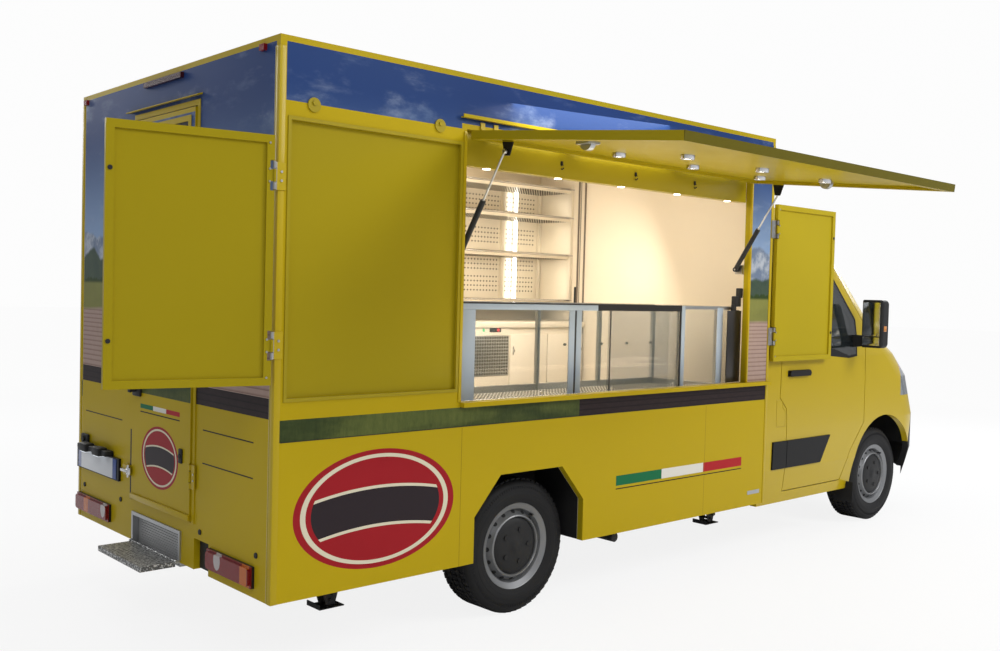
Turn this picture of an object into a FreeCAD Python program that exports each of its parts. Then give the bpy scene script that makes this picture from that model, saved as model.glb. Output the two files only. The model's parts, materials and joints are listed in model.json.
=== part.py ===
import FreeCAD, Part
import math
import os
import Sketcher
from types import SimpleNamespace

# A food truck: a serving box on a front-drive platform cab, standing with its serving side open.
# Vehicle frame while drawing: x forward from the box's rear wall, y left from the centre line,
# z up from the ground, in millimetres. Every sub-part is then moved by the same datum, so that
# the model's origin is on the ground under the middle of its overall length and width.

DIMENSIONS = (
    # alias, value (mm or degrees)
    # the box
    ("box_length", 3540), ("box_half", 1055), ("box_bottom", 338), ("box_top", 2649),
    ("wall", 40), ("roof_thick", 45), ("floor_top", 545), ("floor_thick", 60),
    ("serve_rear", 985), ("serve_front", 3295), ("serve_sill", 1116), ("serve_head", 2391),
    ("bay_rear", 54), ("bay_front", 950), ("bay_sill", 1180), ("bay_head", 2315), ("bay_deep", 15),
    ("ledge_reach", 28), ("ledge_thick", 22), ("gutter_z", 2440), ("gutter_reach", 24), ("gutter_thick", 8),
    ("rail_z", 2490), ("rail_right", -383), ("rail_left", 410), ("rail_reach", 26), ("rail_thick", 9),
    ("notch_right", -508), ("notch_left", -365), ("notch_top", 482),
    ("plate_right", 471), ("plate_left", 1045), ("plate_low", 612), ("plate_high", 728), ("plate_proud", 14),
    ("trim_wide", 26), ("trim_proud", 5),
    # wheels and their arches
    ("rear_axle_x", 1470.6), ("wheelbase", 3682), ("axle_height", 345),
    ("arch_half", 380), ("arch_top", 748), ("arch_shoulder", 559), ("arch_slope", 165),
    ("liner_deep", 330), ("liner_thick", 20), ("liner_slot_half", 80), ("liner_slot_top", 430),
    ("tyre_radius", 345), ("tyre_width", 225), ("rim_radius", 220), ("rim_width", 190),
    ("track_half", 845), ("kingpin_half", 775), ("hub_radius", 60), ("brake_radius", 140), ("brake_thick", 22),
    ("brake_out", 795), ("hub_out", 35.5),
    ("rim_hole_ring", 149), ("rim_hole_radius", 13), ("front_arch_radius", 455),
    # the rear door
    ("door_right", -335), ("door_left", 315), ("door_sill", 545), ("door_head", 2440),
    ("gap", 6), ("door_thick", 36), ("door_proud", 12), ("door_hinge_out", 3),
    ("window_low", 1500), ("window_high", 2380), ("window_border", 60), ("glass_thick", 6),
    ("latch_y", 355), ("latch_z", 690),
    # the awning and its struts
    ("awning_pivot_z", 2385), ("awning_pivot_out", 14), ("awning_length", 1250), ("awning_thick", 40),
    ("awning_border", 44), ("awning_hollow", 18), ("awning_droop", 5.5),
    ("strut_low_y", -980), ("strut_low_z", 1815), ("strut_radius", 14), ("strut_tube_length", 290),
    ("strut_rear_x", 1024), ("strut_front_x", 3256), ("strut_pin_along", 215), ("strut_pin_deep", 90),
    ("strut_eye", 11), ("strut_rod", 5), ("strut_overlap", 30),
    # the side boards
    ("board_width", 640), ("board_front_width", 700), ("board_low", 1240), ("board_height", 1000),
    ("board_thick", 26), ("board_out", 14), ("board_frame", 32), ("board_hollow", 10), ("board_swing", 11),
    ("board_rear_x", -24), ("board_front_x", 3574),
    # barrel hinges
    ("knuckle", 7), ("knuckle_half", 24), ("knuckle_gap", 5), ("knuckle_end", 26), ("leaf", 8), ("leaf_wide", 54),
    # chassis
    ("rail_half", 430), ("rail_wide", 60), ("rail_low", 365), ("rail_high", 475), ("rail_wall", 6),
    ("rails_rear", 160), ("rails_front", 5640), ("bar_long", 80), ("outrigger_long", 60),
    ("silencer_radius", 80), ("pipe_radius", 26),
    ("jack_rear_x", 330), ("jack_front_x", 3060), ("jack_leg", 300), ("jack_y", 780), ("jack_pivot", 15),
    ("jack_z", 300), ("jack_half", 25), ("jack_deep", 20), ("jack_skin", 5), ("jack_foot", 50),
    # the step
    ("step_low", 318), ("step_high", 478), ("step_right", -225), ("step_left", 302), ("step_reach", 185),
    ("step_thick", 25), ("step_pivot_out", 16), ("step_box", 150), ("step_skin", 6), ("step_rim", 11),
    # the cab
    ("cab_skin", 45),
    # inside the box
    ("case_rear", 1040), ("case_front", 3240), ("case_deep", 620), ("case_top", 1100), ("case_glass", 370),
    ("case_low", 845), ("case_skin", 30), ("case_well", 90), ("case_post", 24),
    ("rack_rear", 1000), ("rack_front", 1990), ("rack_deep", 370), ("rack_low", 1190), ("rack_high", 2330),
    ("rack_post", 25), ("cabinet_rear", 2000), ("cabinet_front", 3480), ("cabinet_deep", 500),
    ("worktop_z", 1150), ("worktop_thick", 35), ("plinth", 90),
    # where the model's origin lies
    ("origin_x", 2669), ("origin_y", -534.1),
)


class Size:
    """A length that keeps both its value and its spreadsheet expression."""

    def __init__(self, value, text):
        self.value, self.text = value, text

    def _join(self, other, sign, work, swap=False):
        other = size(other)
        left, right = (other, self) if swap else (self, other)
        return Size(work(left.value, right.value), f"({left.text} {sign} {right.text})")

    def __add__(self, other):
        return self._join(other, "+", lambda a, b: a + b)

    def __sub__(self, other):
        return self._join(other, "-", lambda a, b: a - b)

    def __rsub__(self, other):
        return self._join(other, "-", lambda a, b: a - b, swap=True)

    def __mul__(self, other):
        return self._join(other, "*", lambda a, b: a * b)

    def __truediv__(self, other):
        return self._join(other, "/", lambda a, b: a / b)

    def __neg__(self):
        return Size(-self.value, f"(0 - {self.text})")

    __radd__, __rmul__ = __add__, __mul__


def size(thing):
    return thing if isinstance(thing, Size) else Size(float(thing), repr(float(thing)))


document = FreeCAD.newDocument("food_truck")
sheet = document.addObject("Spreadsheet::Sheet", "dims")
for row, (alias, value) in enumerate(DIMENSIONS, start=1):
    sheet.set(f"A{row}", alias)
    sheet.set(f"B{row}", str(value))
    sheet.setAlias(f"B{row}", alias)
document.recompute()
d = SimpleNamespace(**{alias: Size(float(sheet.get(alias)), f"dims.{alias}") for alias, _ in DIMENSIONS})
nodes = {}


# ---------------------------------------------------------------- drawing helpers

def bind(thing, **sizes):
    """Set each property to its value and bind it to its expression."""
    for name, length in sizes.items():
        thing.setExpression(name, size(length).text)
    return thing


def place(thing, x=0, y=0, z=0, axis=(0, 0, 1), turn=0):
    thing.Placement = FreeCAD.Placement(
        FreeCAD.Vector(size(x).value, size(y).value, size(z).value),
        FreeCAD.Rotation(FreeCAD.Vector(*axis), size(turn).value))
    for name, length in (("x", x), ("y", y), ("z", z)):
        thing.setExpression(f"Placement.Base.{name}", size(length).text)
    if isinstance(turn, Size):
        thing.setExpression("Placement.Rotation.Angle", turn.text)
    return thing


def held(things, x=0, y=0, z=0, axis=(0, 0, 1), turn=0):
    """Things drawn about the origin, held together and placed."""
    holder = document.addObject("Part::Compound", "group")
    holder.Links = list(things)
    return place(holder, x, y, z, axis, turn)


def block(x, y, z):
    """A box between (low, high) pairs."""
    thing = document.addObject("Part::Box", "block")
    bind(thing, Length=size(x[1]) - x[0], Width=size(y[1]) - y[0], Height=size(z[1]) - z[0])
    return place(thing, x[0], y[0], z[0])


ALONG = {"x": ((0, 1, 0), 90), "y": ((1, 0, 0), -90), "z": ((0, 0, 1), 0)}


def round_bar(along, centre, radius, length):
    """A cylinder from centre, running in + of the named axis."""
    thing = document.addObject("Part::Cylinder", "round_bar")
    bind(thing, Radius=radius, Height=length)
    axis, turn = ALONG[along]
    return place(thing, *centre, axis=axis, turn=turn)


def bars(along, centre, radius, spans):
    """Round bars on one axis, each from low to high along it."""
    made = []
    for low, high in spans:
        start = list(centre)
        start["xyz".index(along)] = low
        made.append(round_bar(along, start, radius, size(high) - low))
    return made


def fuse(*things):
    thing = document.addObject("Part::MultiFuse", "fusion")
    thing.Shapes = list(things)
    return thing


def cut(base, *tools):
    thing = document.addObject("Part::Cut", "cut")
    thing.Base = base
    thing.Tool = tools[0] if len(tools) == 1 else fuse(*tools)
    return thing


def common(first, second):
    thing = document.addObject("Part::Common", "common")
    thing.Base, thing.Tool = first, second
    return thing


def mirror(thing):
    """The same thing on the other side of the centre line."""
    twin = document.addObject("Part::Mirroring", "twin")
    twin.Source, twin.Normal, twin.Base = thing, (0, 1, 0), (0, 0, 0)
    return twin


def spans_about(middle):
    """A barrel hinge's spans: the moving knuckle, then the two fixed ones beside it."""
    near = d.knuckle_half + d.knuckle_gap
    far = near + d.knuckle_end
    return (middle - d.knuckle_half, middle + d.knuckle_half), ((middle - far, middle - near),
                                                               (middle + near, middle + far))


SKETCH_TURN = {
    "XY": FreeCAD.Rotation(),
    "XZ": FreeCAD.Rotation(FreeCAD.Vector(1, 0, 0), 90),
    "YZ": FreeCAD.Rotation(FreeCAD.Vector(1, 1, 1), 120),
}


def outline(plane, level, points):
    """A closed sketch of straight sides at a level along the plane's normal."""
    sketch = bound_corners(document.addObject("Sketcher::SketchObject", "outline"), points)
    normal = SKETCH_TURN[plane].multVec(FreeCAD.Vector(0, 0, 1))
    sketch.Placement = FreeCAD.Placement(normal * size(level).value, SKETCH_TURN[plane])
    axis = max(range(3), key=lambda i: abs(normal[i]))
    sketch.setExpression(f"Placement.Base.{'xyz'[axis]}", (size(level) * normal[axis]).text)
    return sketch


def bound_corners(sketch, points):
    corners = [FreeCAD.Vector(size(u).value, size(v).value, 0) for u, v in points]
    sides = [Part.LineSegment(corner, corners[(i + 1) % len(corners)]) for i, corner in enumerate(corners)]
    sketch.addGeometry(sides)
    for i in range(len(sides)):
        sketch.addConstraint(Sketcher.Constraint("Coincident", i, 2, (i + 1) % len(sides), 1))
    for i, (u, v) in enumerate(points):
        for kind, length in (("DistanceX", u), ("DistanceY", v)):
            index = sketch.addConstraint(Sketcher.Constraint(kind, -1, 1, i, 1, size(length).value))
            if isinstance(length, Size):
                sketch.setExpression(f"Constraints[{index}]", length.text)
    return sketch


def prism(plane, points, low, high):
    """The outline swept from low to high along the plane's remaining axis."""
    along_minus_y = plane == "XZ"
    thing = document.addObject("Part::Extrusion", "prism")
    thing.Base = outline(plane, -size(low) if along_minus_y else low, points)
    thing.DirMode = "Normal"
    thing.Solid = True
    thing.Reversed = along_minus_y
    return bind(thing, LengthFwd=size(high) - low)


def rectangle(u, v):
    return [(u[0], v[0]), (u[1], v[0]), (u[1], v[1]), (u[0], v[1])]


def shaped(shape):
    """A Part::Feature for a form that Part's own functions make."""
    thing = document.addObject("Part::Feature", "form")
    thing.Shape = shape
    return thing


def plane_of(body, role):
    return next(thing for thing in body.Origin.OriginFeatures if thing.Role == role)


def closed_sketch(body, role, points):
    """A body's sketch of straight sides on one of its origin planes, each corner bound."""
    sketch = body.newObject("Sketcher::SketchObject", "profile")
    sketch.AttachmentSupport = [(plane_of(body, role), "")]
    sketch.MapMode = "FlatFace"
    return bound_corners(sketch, points)


def node(label, thing):
    """Name a finished sub-part and give it its place from the model's datum."""
    holder = held([thing], -d.origin_x, -d.origin_y)
    holder.Label = label
    nodes[label] = holder


# ---------------------------------------------------------------- box

def arch_outline():
    """The rear wheel arch in side view: square shoulders with sloped corners."""
    rear, front = d.rear_axle_x - d.arch_half, d.rear_axle_x + d.arch_half
    below = d.box_bottom - d.gap
    return [(rear, below), (rear, d.arch_shoulder), (rear + d.arch_slope, d.arch_top),
            (front - d.arch_slope, d.arch_top), (front, d.arch_shoulder), (front, below)]


def roof():
    """The roof sheet with a low rim all round."""
    low, high = d.box_top - d.roof_thick, d.box_top
    rim = d.trim_wide
    node("box_roof", cut(
        block((0, d.box_length), (-d.box_half, d.box_half), (low, high)),
        block((rim, d.box_length - rim), (rim - d.box_half, d.box_half - rim), (high - d.trim_proud, high + 1))))


def side_walls():
    inner = d.box_half - d.wall
    face = -d.box_half
    eaves = d.box_top - d.roof_thick
    side = rectangle((0, d.box_length), (d.box_bottom, eaves))
    arch = arch_outline()
    node("box_left_wall", block((0, d.box_length), (inner, d.box_half), (d.arch_top, eaves)))
    node("left_skirts", cut(block((0, d.box_length), (inner, d.box_half), (d.box_bottom, d.arch_top)),
                            prism("XZ", arch, inner - 1, d.box_half + 1)))
    right = cut(
        prism("XZ", side, face, -inner),
        prism("XZ", arch, face - 1, -inner + 1),
        block((d.serve_rear, d.serve_front), (face - 1, -inner + 1), (d.serve_sill, d.serve_head)),
        block((d.bay_rear, d.bay_front), (face - 1, face + d.bay_deep), (d.bay_sill, d.bay_head)))
    ledge = block((d.serve_rear, d.box_length), (face - d.ledge_reach, face),
                  (d.serve_sill - d.ledge_thick, d.serve_sill))
    gutter_ends = (d.serve_rear - d.wall, d.serve_front + d.wall)
    gutter = fuse(
        block(gutter_ends, (face - d.gutter_reach, face), (d.gutter_z, d.gutter_z + d.gutter_thick / 2)),
        block(gutter_ends, (face - d.gutter_reach, face - d.gutter_reach + d.gutter_thick / 2),
              (d.gutter_z, d.gutter_z + d.gutter_thick * 2)))
    node("box_right_wall", fuse(right, ledge, gutter))


def end_walls():
    inner = d.box_half - d.wall
    eaves = d.box_top - d.roof_thick
    through = (-1, d.wall + 1)
    wall = cut(
        block((0, d.wall), (-inner, inner), (d.box_bottom, eaves)),
        block(through, (d.door_right - d.gap, d.door_left + d.gap), (d.door_sill, d.door_head + d.gap)),
        block(through, (d.step_right, d.step_left), (d.step_low - 1, d.step_high + 1)),
        block(through, (d.notch_right, d.notch_left), (d.box_bottom - 1, d.notch_top)))
    drip = prism("XZ", [(0, d.rail_z), (0, d.rail_z + d.rail_thick), (-d.rail_reach, d.rail_z),
                        (-d.rail_reach, d.rail_z - d.rail_thick / 2)], d.rail_right, d.rail_left)
    trims = [block((-d.trim_proud, 0), (low, low + d.trim_wide), (d.door_sill, d.door_head + d.gap + d.trim_wide))
             for low in (d.door_right - d.gap - d.trim_wide, d.door_left + d.gap)]
    header = block((-d.trim_proud, 0), (d.door_right - d.gap, d.door_left + d.gap),
                   (d.door_head + d.gap, d.door_head + d.gap + d.trim_wide))
    holder = block((-d.plate_proud, 0), (d.plate_right, d.plate_left), (d.plate_low, d.plate_high))
    node("box_rear_wall", fuse(wall, drip, *trims, header, holder))
    node("box_front_wall", block((d.box_length - d.wall, d.box_length), (-inner, inner),
                                 (d.floor_top - d.floor_thick, eaves)))


def floor():
    """The floor sheet, and a boxed wheel arch at each side, open below and outwards."""
    inner = d.box_half - d.wall
    low = d.floor_top - d.floor_thick
    rear, front = d.rear_axle_x - d.arch_half, d.rear_axle_x + d.arch_half
    deep = -inner + d.liner_deep
    around = (rear - d.liner_thick, front + d.liner_thick)
    shell = block(around, (-inner, deep + d.liner_thick), (d.box_bottom + 1, d.arch_top + 2 * d.liner_thick))
    hollow = block((rear, front), (-inner - 1, deep), (d.box_bottom, d.arch_top + d.liner_thick))
    axle_way = block((d.rear_axle_x - d.liner_slot_half, d.rear_axle_x + d.liner_slot_half),
                     (deep - 1, deep + d.liner_thick + 1), (d.box_bottom, d.liner_slot_top))
    liner = cut(shell, hollow, axle_way)
    node("arch_liners", fuse(liner, mirror(liner)))
    node("box_floor", cut(
        block((d.wall, d.box_length - d.wall), (-inner, inner), (low, d.floor_top)),
        block(around, (-inner - 1, deep + d.liner_thick), (low - 1, d.floor_top + 1)),
        block(around, (-deep - d.liner_thick, inner + 1), (low - 1, d.floor_top + 1))))


# ---------------------------------------------------------------- cab

CAB_SECTIONS = (
    # height, half width, nose x, corner radius, nose radius
    (300, 1000, 5890, 420, 2600),
    (520, 1026, 5985, 440, 2600),
    (780, 1030, 5990, 460, 2600),
    (1080, 1028, 5900, 500, 2300),
    (1250, 1024, 5700, 500, 2200),
    (1400, 1014, 5437, 420, 1700),
    (2140, 905, 4622, 300, 1700),
    (2250, 840, 4400, 260, 1700),
)
# Side views, as (x, z). The door runs up its rear edge, along the roof, down the pillar, round the wheel.
DOOR_OUTLINE = [(3824, 375), (3824, 800), (3816, 920), (3735, 1000), (3752, 1300), (3766, 2010),
                (3830, 2085), (4300, 2085), (4832, 1480), (4832, 766), (4650, 570), (4550, 375)]
DOOR_WINDOW = [(3850, 1310), (3850, 1960), (3890, 1995), (4270, 1995), (4700, 1500), (4700, 1262),
               (4600, 1252), (4390, 1305)]
RUB_STRIP = [(3660, 530), (4247, 530), (4363, 710), (3660, 710)]
FUEL_FLAP = [(3694, 805), (3800, 805), (3800, 905), (3770, 930), (3760, 985), (3694, 985)]
DOOR_HANDLE = [(3832, 1132), (4068, 1132), (4080, 1150), (4068, 1170), (3832, 1170), (3822, 1150)]
# Front views, as (y, z).
SCREEN = [(-850, 1425), (850, 1425), (760, 2105), (-760, 2105)]
SCREEN_PANE = [(-848, 1427), (848, 1427), (758, 2103), (-758, 2103)]
GRILLE = [(-560, 790), (560, 790), (590, 1085), (-590, 1085)]
HEADLAMP = [(-1100, 940), (-600, 900), (-640, 1120), (-860, 1240), (-1100, 1240)]
INTAKE = [(-440, 410), (440, 410), (480, 560), (-480, 560)]
GRILLE_SLOTS = ((835, 500), (880, 510), (925, 518), (970, 526), (1015, 534))  # middle height, half width
CAB_WIDE = 1200      # beyond either side of the cab
CAB_MIDDLE = 500     # clear of either door's inner face
STRIP_PROUD, HANDLE_PROUD, FLAP_GROOVE = 9, 20, 3


def cab_section(height, half, nose, corner, crown, inset, rear):
    """One level of the cab: straight sides, rounded corners and a crowned nose."""
    half, nose, corner, crown = half - inset, nose - inset, corner - inset, crown - inset
    crown_x = nose - crown
    corner_y = half - corner
    corner_x = crown_x + math.sqrt((crown - corner) ** 2 - corner_y ** 2)
    lean = math.atan2(corner_y, corner_x - crown_x)
    middle = (lean + math.pi / 2) / 2

    def at(x, y):
        return FreeCAD.Vector(x, y, height)

    def on(centre_x, centre_y, radius, angle, side):
        return at(centre_x + radius * math.cos(angle), side * (centre_y + radius * math.sin(angle)))

    join = {side: on(crown_x, 0, crown, lean, side) for side in (1, -1)}
    edges = [
        Part.LineSegment(at(rear, -half), at(corner_x, -half)).toShape(),
        Part.Arc(at(corner_x, -half), on(corner_x, corner_y, corner, middle, -1), join[-1]).toShape(),
        Part.Arc(join[-1], at(nose, 0), join[1]).toShape(),
        Part.Arc(join[1], on(corner_x, corner_y, corner, middle, 1), at(corner_x, half)).toShape(),
        Part.LineSegment(at(corner_x, half), at(rear, half)).toShape(),
        Part.LineSegment(at(rear, half), at(rear, -half)).toShape(),
    ]
    return Part.Wire(edges)


def cab_solid(inset, rear, drop=0):
    """The cab's closed form, shrunk sideways by inset and lowered at its top by drop."""
    levels = [list(row) for row in CAB_SECTIONS]
    levels[-1][0] -= drop
    return Part.makeLoft([cab_section(*row, inset, rear) for row in levels], True, True)


def slab(plane, points, low, high):
    """A plain solid for cutting the cab into its panels."""
    u, v, w = {"XY": (0, 1, 2), "XZ": (0, 2, 1), "YZ": (1, 2, 0)}[plane]
    corners = []
    for point in points + points[:1]:
        corner = [0, 0, 0]
        corner[u], corner[v], corner[w] = point[0], point[1], low
        corners.append(FreeCAD.Vector(*corner))
    sweep = [0, 0, 0]
    sweep[w] = high - low
    return Part.Face(Part.makePolygon(corners)).extrude(FreeCAD.Vector(*sweep))


def grown(points, by):
    """The outline moved out by a gap all round."""
    wire = Part.makePolygon([FreeCAD.Vector(*point, 0) for point in points + points[:1]])
    ring = wire.makeOffset2D(by, 2)
    edges = Part.__sortEdges__(ring.Edges)
    return [(edge.firstVertex(True).Point.x, edge.firstVertex(True).Point.y) for edge in edges]


def opposite(shape):
    return shape.mirror(FreeCAD.Vector(0, 0, 0), FreeCAD.Vector(0, 1, 0))


def cab_panels():
    rear = d.box_length.value
    deep = d.cab_skin.value
    outer = cab_solid(0, rear)
    belly = slab("XY", [(rear - 5, -940), (5790, -940), (5790, 940), (rear - 5, 940)], 290, 360)
    skin = outer.cut(cab_solid(deep, rear - 1, deep)).cut(belly)
    pane = outer.cut(cab_solid(d.glass_thick.value, rear - 1, d.glass_thick.value))
    axle = FreeCAD.Vector(d.rear_axle_x.value + d.wheelbase.value, -CAB_WIDE, d.axle_height.value)
    skin = skin.cut(Part.makeCylinder(d.front_arch_radius.value, 2 * CAB_WIDE, axle, FreeCAD.Vector(0, 1, 0)))

    def raised(points, by):
        """A pad standing proud of the cab's right side."""
        return cab_solid(-by, rear).common(slab("XZ", points, -CAB_WIDE, -CAB_MIDDLE)).cut(outer)

    def recess(points, by, low, high, plane):
        return outer.cut(cab_solid(by, rear - 1)).common(slab(plane, points, low, high))

    doors(skin, pane, raised)
    rest = skin
    doorway = slab("XZ", grown(DOOR_OUTLINE, d.gap.value), -CAB_WIDE, -CAB_MIDDLE)
    for hole in (doorway, opposite(doorway), slab("YZ", SCREEN, 4400, 5600)):
        rest = rest.cut(hole)
    node("windscreen", shaped(pane.common(slab("YZ", SCREEN_PANE, 4400, 5600))))
    rest = front_panels(rest, recess)
    shell(rest, raised, recess)


def doors(skin, pane, raised):
    window = slab("XZ", DOOR_WINDOW, -CAB_WIDE, -CAB_MIDDLE)
    within = slab("XZ", DOOR_OUTLINE, -CAB_WIDE, -CAB_MIDDLE)
    door = skin.common(within).cut(window)
    strip = raised(RUB_STRIP, STRIP_PROUD).common(within)
    handle = raised(DOOR_HANDLE, HANDLE_PROUD)
    door = door.fuse([strip, handle])
    glass = pane.common(slab("XZ", grown(DOOR_WINDOW, -0.5), -CAB_WIDE, -CAB_MIDDLE))
    for side, turned in (("right", lambda shape: shape), ("left", opposite)):
        node(f"cab_door_{side}", shaped(turned(door)))
        node(f"door_glass_{side}", shaped(turned(glass)))


def front_panels(rest, recess):
    """Cut the nose into its lamps, grille, bumper, bonnet and wings; return what is left."""
    zone = slab("YZ", HEADLAMP, 5380, 6100)
    lamp = rest.common(zone)
    rest = rest.cut(zone).cut(opposite(zone))
    node("headlamps", shaped(Part.makeCompound([lamp, opposite(lamp)])))
    slots = [slab("YZ", rectangle((-half, half), (middle - 13, middle + 13)), 5400, 6100)
             for middle, half in GRILLE_SLOTS]
    intake = recess(INTAKE, 22, 5400, 6100, "YZ")
    zones = (
        # label, zone, what is cut out of it
        ("grille", slab("YZ", GRILLE, 5400, 6100), slots),
        ("front_bumper", slab("XZ", [(5500, 280), (6100, 280), (6100, 785), (5620, 785), (5560, 620)],
                              -CAB_WIDE, CAB_WIDE), [intake]),
        ("bonnet", slab("XY", [(5050, -790), (6100, -640), (6100, 640), (5050, 790)], 1090, 1385), []),
        ("front_fenders", slab("XZ", [(4560, 290), (6100, 290), (6100, 1398), (4838, 1398), (4838, 700),
                                      (4560, 560)], -CAB_WIDE, CAB_WIDE), []),
    )
    for label, zone, holes in zones:
        panel = rest.common(zone)
        node(label, shaped(panel.cut(holes) if holes else panel))
        rest = rest.cut(zone)
    return rest


def shell(rest, raised, recess):
    """The fixed cab structure with its floor and scuttle, the dashboard and the steering wheel."""
    rear = d.box_length.value
    deep = d.cab_skin.value
    inner = cab_solid(deep, rear)
    pan = slab("XZ", [(rear, 500), (4640, 500), (4760, 690), (4760, 880), (5280, 950), (5330, 1330),
                      (5290, 1330), (5245, 985), (4720, 915), (4720, 705), (4625, 540), (rear, 540)],
               -CAB_WIDE, CAB_WIDE)
    within = slab("XZ", grown(DOOR_OUTLINE, d.gap.value), -CAB_WIDE, -CAB_MIDDLE)
    strip = raised(RUB_STRIP, STRIP_PROUD).cut(within)
    flap = recess(FUEL_FLAP, FLAP_GROOVE, -CAB_WIDE, -CAB_MIDDLE, "XZ").cut(
        slab("XZ", grown(FUEL_FLAP, -FLAP_GROOVE), -CAB_WIDE, -CAB_MIDDLE))
    whole = rest.cut(flap).fuse([pan.common(inner), strip])
    node("cab_shell", shaped(whole))
    dash = slab("XZ", [(4470, 1130), (4510, 960), (5240, 990), (5290, 1330), (4900, 1345), (4760, 1330),
                       (4640, 1345), (4540, 1300)], -CAB_WIDE, CAB_WIDE)
    node("dashboard", shaped(dash.common(inner).cut(pan)))
    steering_wheel(dash)


def steering_wheel(dash):
    """A six-sided ring on three spokes, square to its column."""
    hub = FreeCAD.Vector(4330, 500, 1180)
    column = FreeCAD.Vector(0.8, 0, -0.6)
    ring_radius, thick, spoke = 185, 14, 26
    across = FreeCAD.Vector(-column.z, 0, column.x)
    ring = []
    for corner in range(6):
        angle = math.radians(60 * corner)
        ring.append(hub + across * (ring_radius + thick * math.cos(angle)) + column * (thick * math.sin(angle)))
    wheel = revolved_about(ring, hub, column)
    boss = Part.makeCylinder(58, 34, hub - column * 10, column)
    shaft = Part.makeCylinder(30, 260, hub, column)
    spokes = []
    for angle in (0, 180, 270):
        arm = Part.makeBox(ring_radius, spoke, spoke / 2, FreeCAD.Vector(0, -spoke / 2, 0))
        arm.rotate(FreeCAD.Vector(0, 0, 0), FreeCAD.Vector(0, 0, 1), angle)
        arm.Placement = FreeCAD.Placement(hub, FreeCAD.Rotation(
            FreeCAD.Vector(0, 1, 0), across * -1, column)).multiply(arm.Placement)
        spokes.append(arm)
    node("steering_wheel", shaped(wheel.fuse([boss, shaft, *spokes]).cut(dash)))


def revolved_about(corners, point, axis):
    return Part.Face(Part.makePolygon(corners + corners[:1])).revolve(point, axis, 360)


def mirrors():
    """Door mirrors: a rounded head on a stub arm, with a plate in the window's front corner."""
    head = Part.makeBox(100, 160, 335, FreeCAD.Vector(4640, -1245, 1315))
    head = head.makeFillet(34, [edge for edge in head.Edges if abs(edge.tangentAt(edge.FirstParameter).z) < 0.5
                                and edge.CenterOfMass.x > 4720])
    head = head.makeFillet(22, [edge for edge in head.Edges if edge.BoundBox.ZLength > 200])
    arm = slab("YZ", [(-1150, 1335), (-960, 1300), (-960, 1400), (-1150, 1395)], 4655, 4715)
    outer = cab_solid(-1, d.box_length.value)
    right = head.fuse(arm.cut(outer))
    node("mirror_right", shaped(right))
    node("mirror_left", shaped(opposite(right)))


# ---------------------------------------------------------------- running gear

def revolve_body(label, points):
    """A turned body about its own y axis, from a profile of (radius, y)."""
    body = document.addObject("PartDesign::Body", label)
    profile = closed_sketch(body, "XY_Plane", points)
    turning = body.newObject("PartDesign::Revolution", "turning")
    turning.Profile = profile
    turning.ReferenceAxis = (profile, ["V_Axis"])
    turning.Angle = 360
    return body


def rim_body():
    """A pressed steel wheel: dished disc, drop-centre rim and a ring of round holes."""
    half = d.rim_width / 2
    body = revolve_body("pressed_wheel", [
        (0, -72), (58, -72), (70, -54), (112, -40), (176, -60), (190, -88), (d.rim_radius, -half - 6),
        (d.rim_radius, half + 6), (d.rim_radius - 20, half), (192, -20), (174, -42), (112, -24),
        (66, -36), (0, -36)])
    hole = body.newObject("Sketcher::SketchObject", "hole")
    hole.AttachmentSupport = [(plane_of(body, "XZ_Plane"), "")]
    hole.MapMode = "FlatFace"
    ring, radius = d.rim_hole_ring, d.rim_hole_radius
    circle = Part.Circle(FreeCAD.Vector(ring.value, 0, 0), FreeCAD.Vector(0, 0, 1), radius.value)
    hole.addGeometry(circle)
    for kind, arguments, length in (("Radius", (0,), radius), ("DistanceX", (-1, 1, 0, 3), ring),
                                    ("DistanceY", (-1, 1, 0, 3), size(0))):
        index = hole.addConstraint(Sketcher.Constraint(kind, *arguments, length.value))
        if length in (ring, radius):
            hole.setExpression(f"Constraints[{index}]", length.text)
    document.recompute()
    solid_before = body.Shape.Volume
    pocket = body.newObject("PartDesign::Pocket", "hole_cut")
    pocket.Profile = hole
    pocket.Type = "ThroughAll"
    pocket.Midplane = True
    pattern = body.newObject("PartDesign::PolarPattern", "hole_ring")
    pattern.Originals = [pocket]
    pattern.Axis = (hole, ["N_Axis"])
    pattern.Angle = 360
    pattern.Occurrences = 16
    body.Tip = pattern
    document.recompute()
    if not body.Shape.Volume < solid_before:
        raise RuntimeError("the wheel's holes cut nothing")
    return body


def wheels():
    radius, half, bead = d.tyre_radius, d.tyre_width / 2, d.rim_width / 2 + 8
    rim_edge = d.rim_radius
    tyre = revolve_body("tyre", [
        (rim_edge, -bead), (rim_edge + 18, -half + 4), (radius - 62, -half), (radius - 34, -half + 3),
        (radius - 8, -half + 16), (radius, -half + 34), (radius, half - 34), (radius - 8, half - 16),
        (radius - 34, half - 3), (radius - 62, half), (rim_edge + 18, half - 4), (rim_edge, bead)])
    rim = rim_body()
    front = d.rear_axle_x + d.wheelbase
    places = (
        # name, x, side (+1 left), turn about z so that the disc faces out
        ("front_left", front, 1, 180),
        ("front_right", front, -1, 0),
        ("rear_left", d.rear_axle_x, 1, 180),
        ("rear_right", d.rear_axle_x, -1, 0),
    )
    for name, x, side, turn in places:
        for kind, body in (("tyre", tyre), ("rim", rim)):
            node(f"{kind}_{name}", held([body], x, d.track_half * side, d.axle_height, turn=turn))


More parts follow.
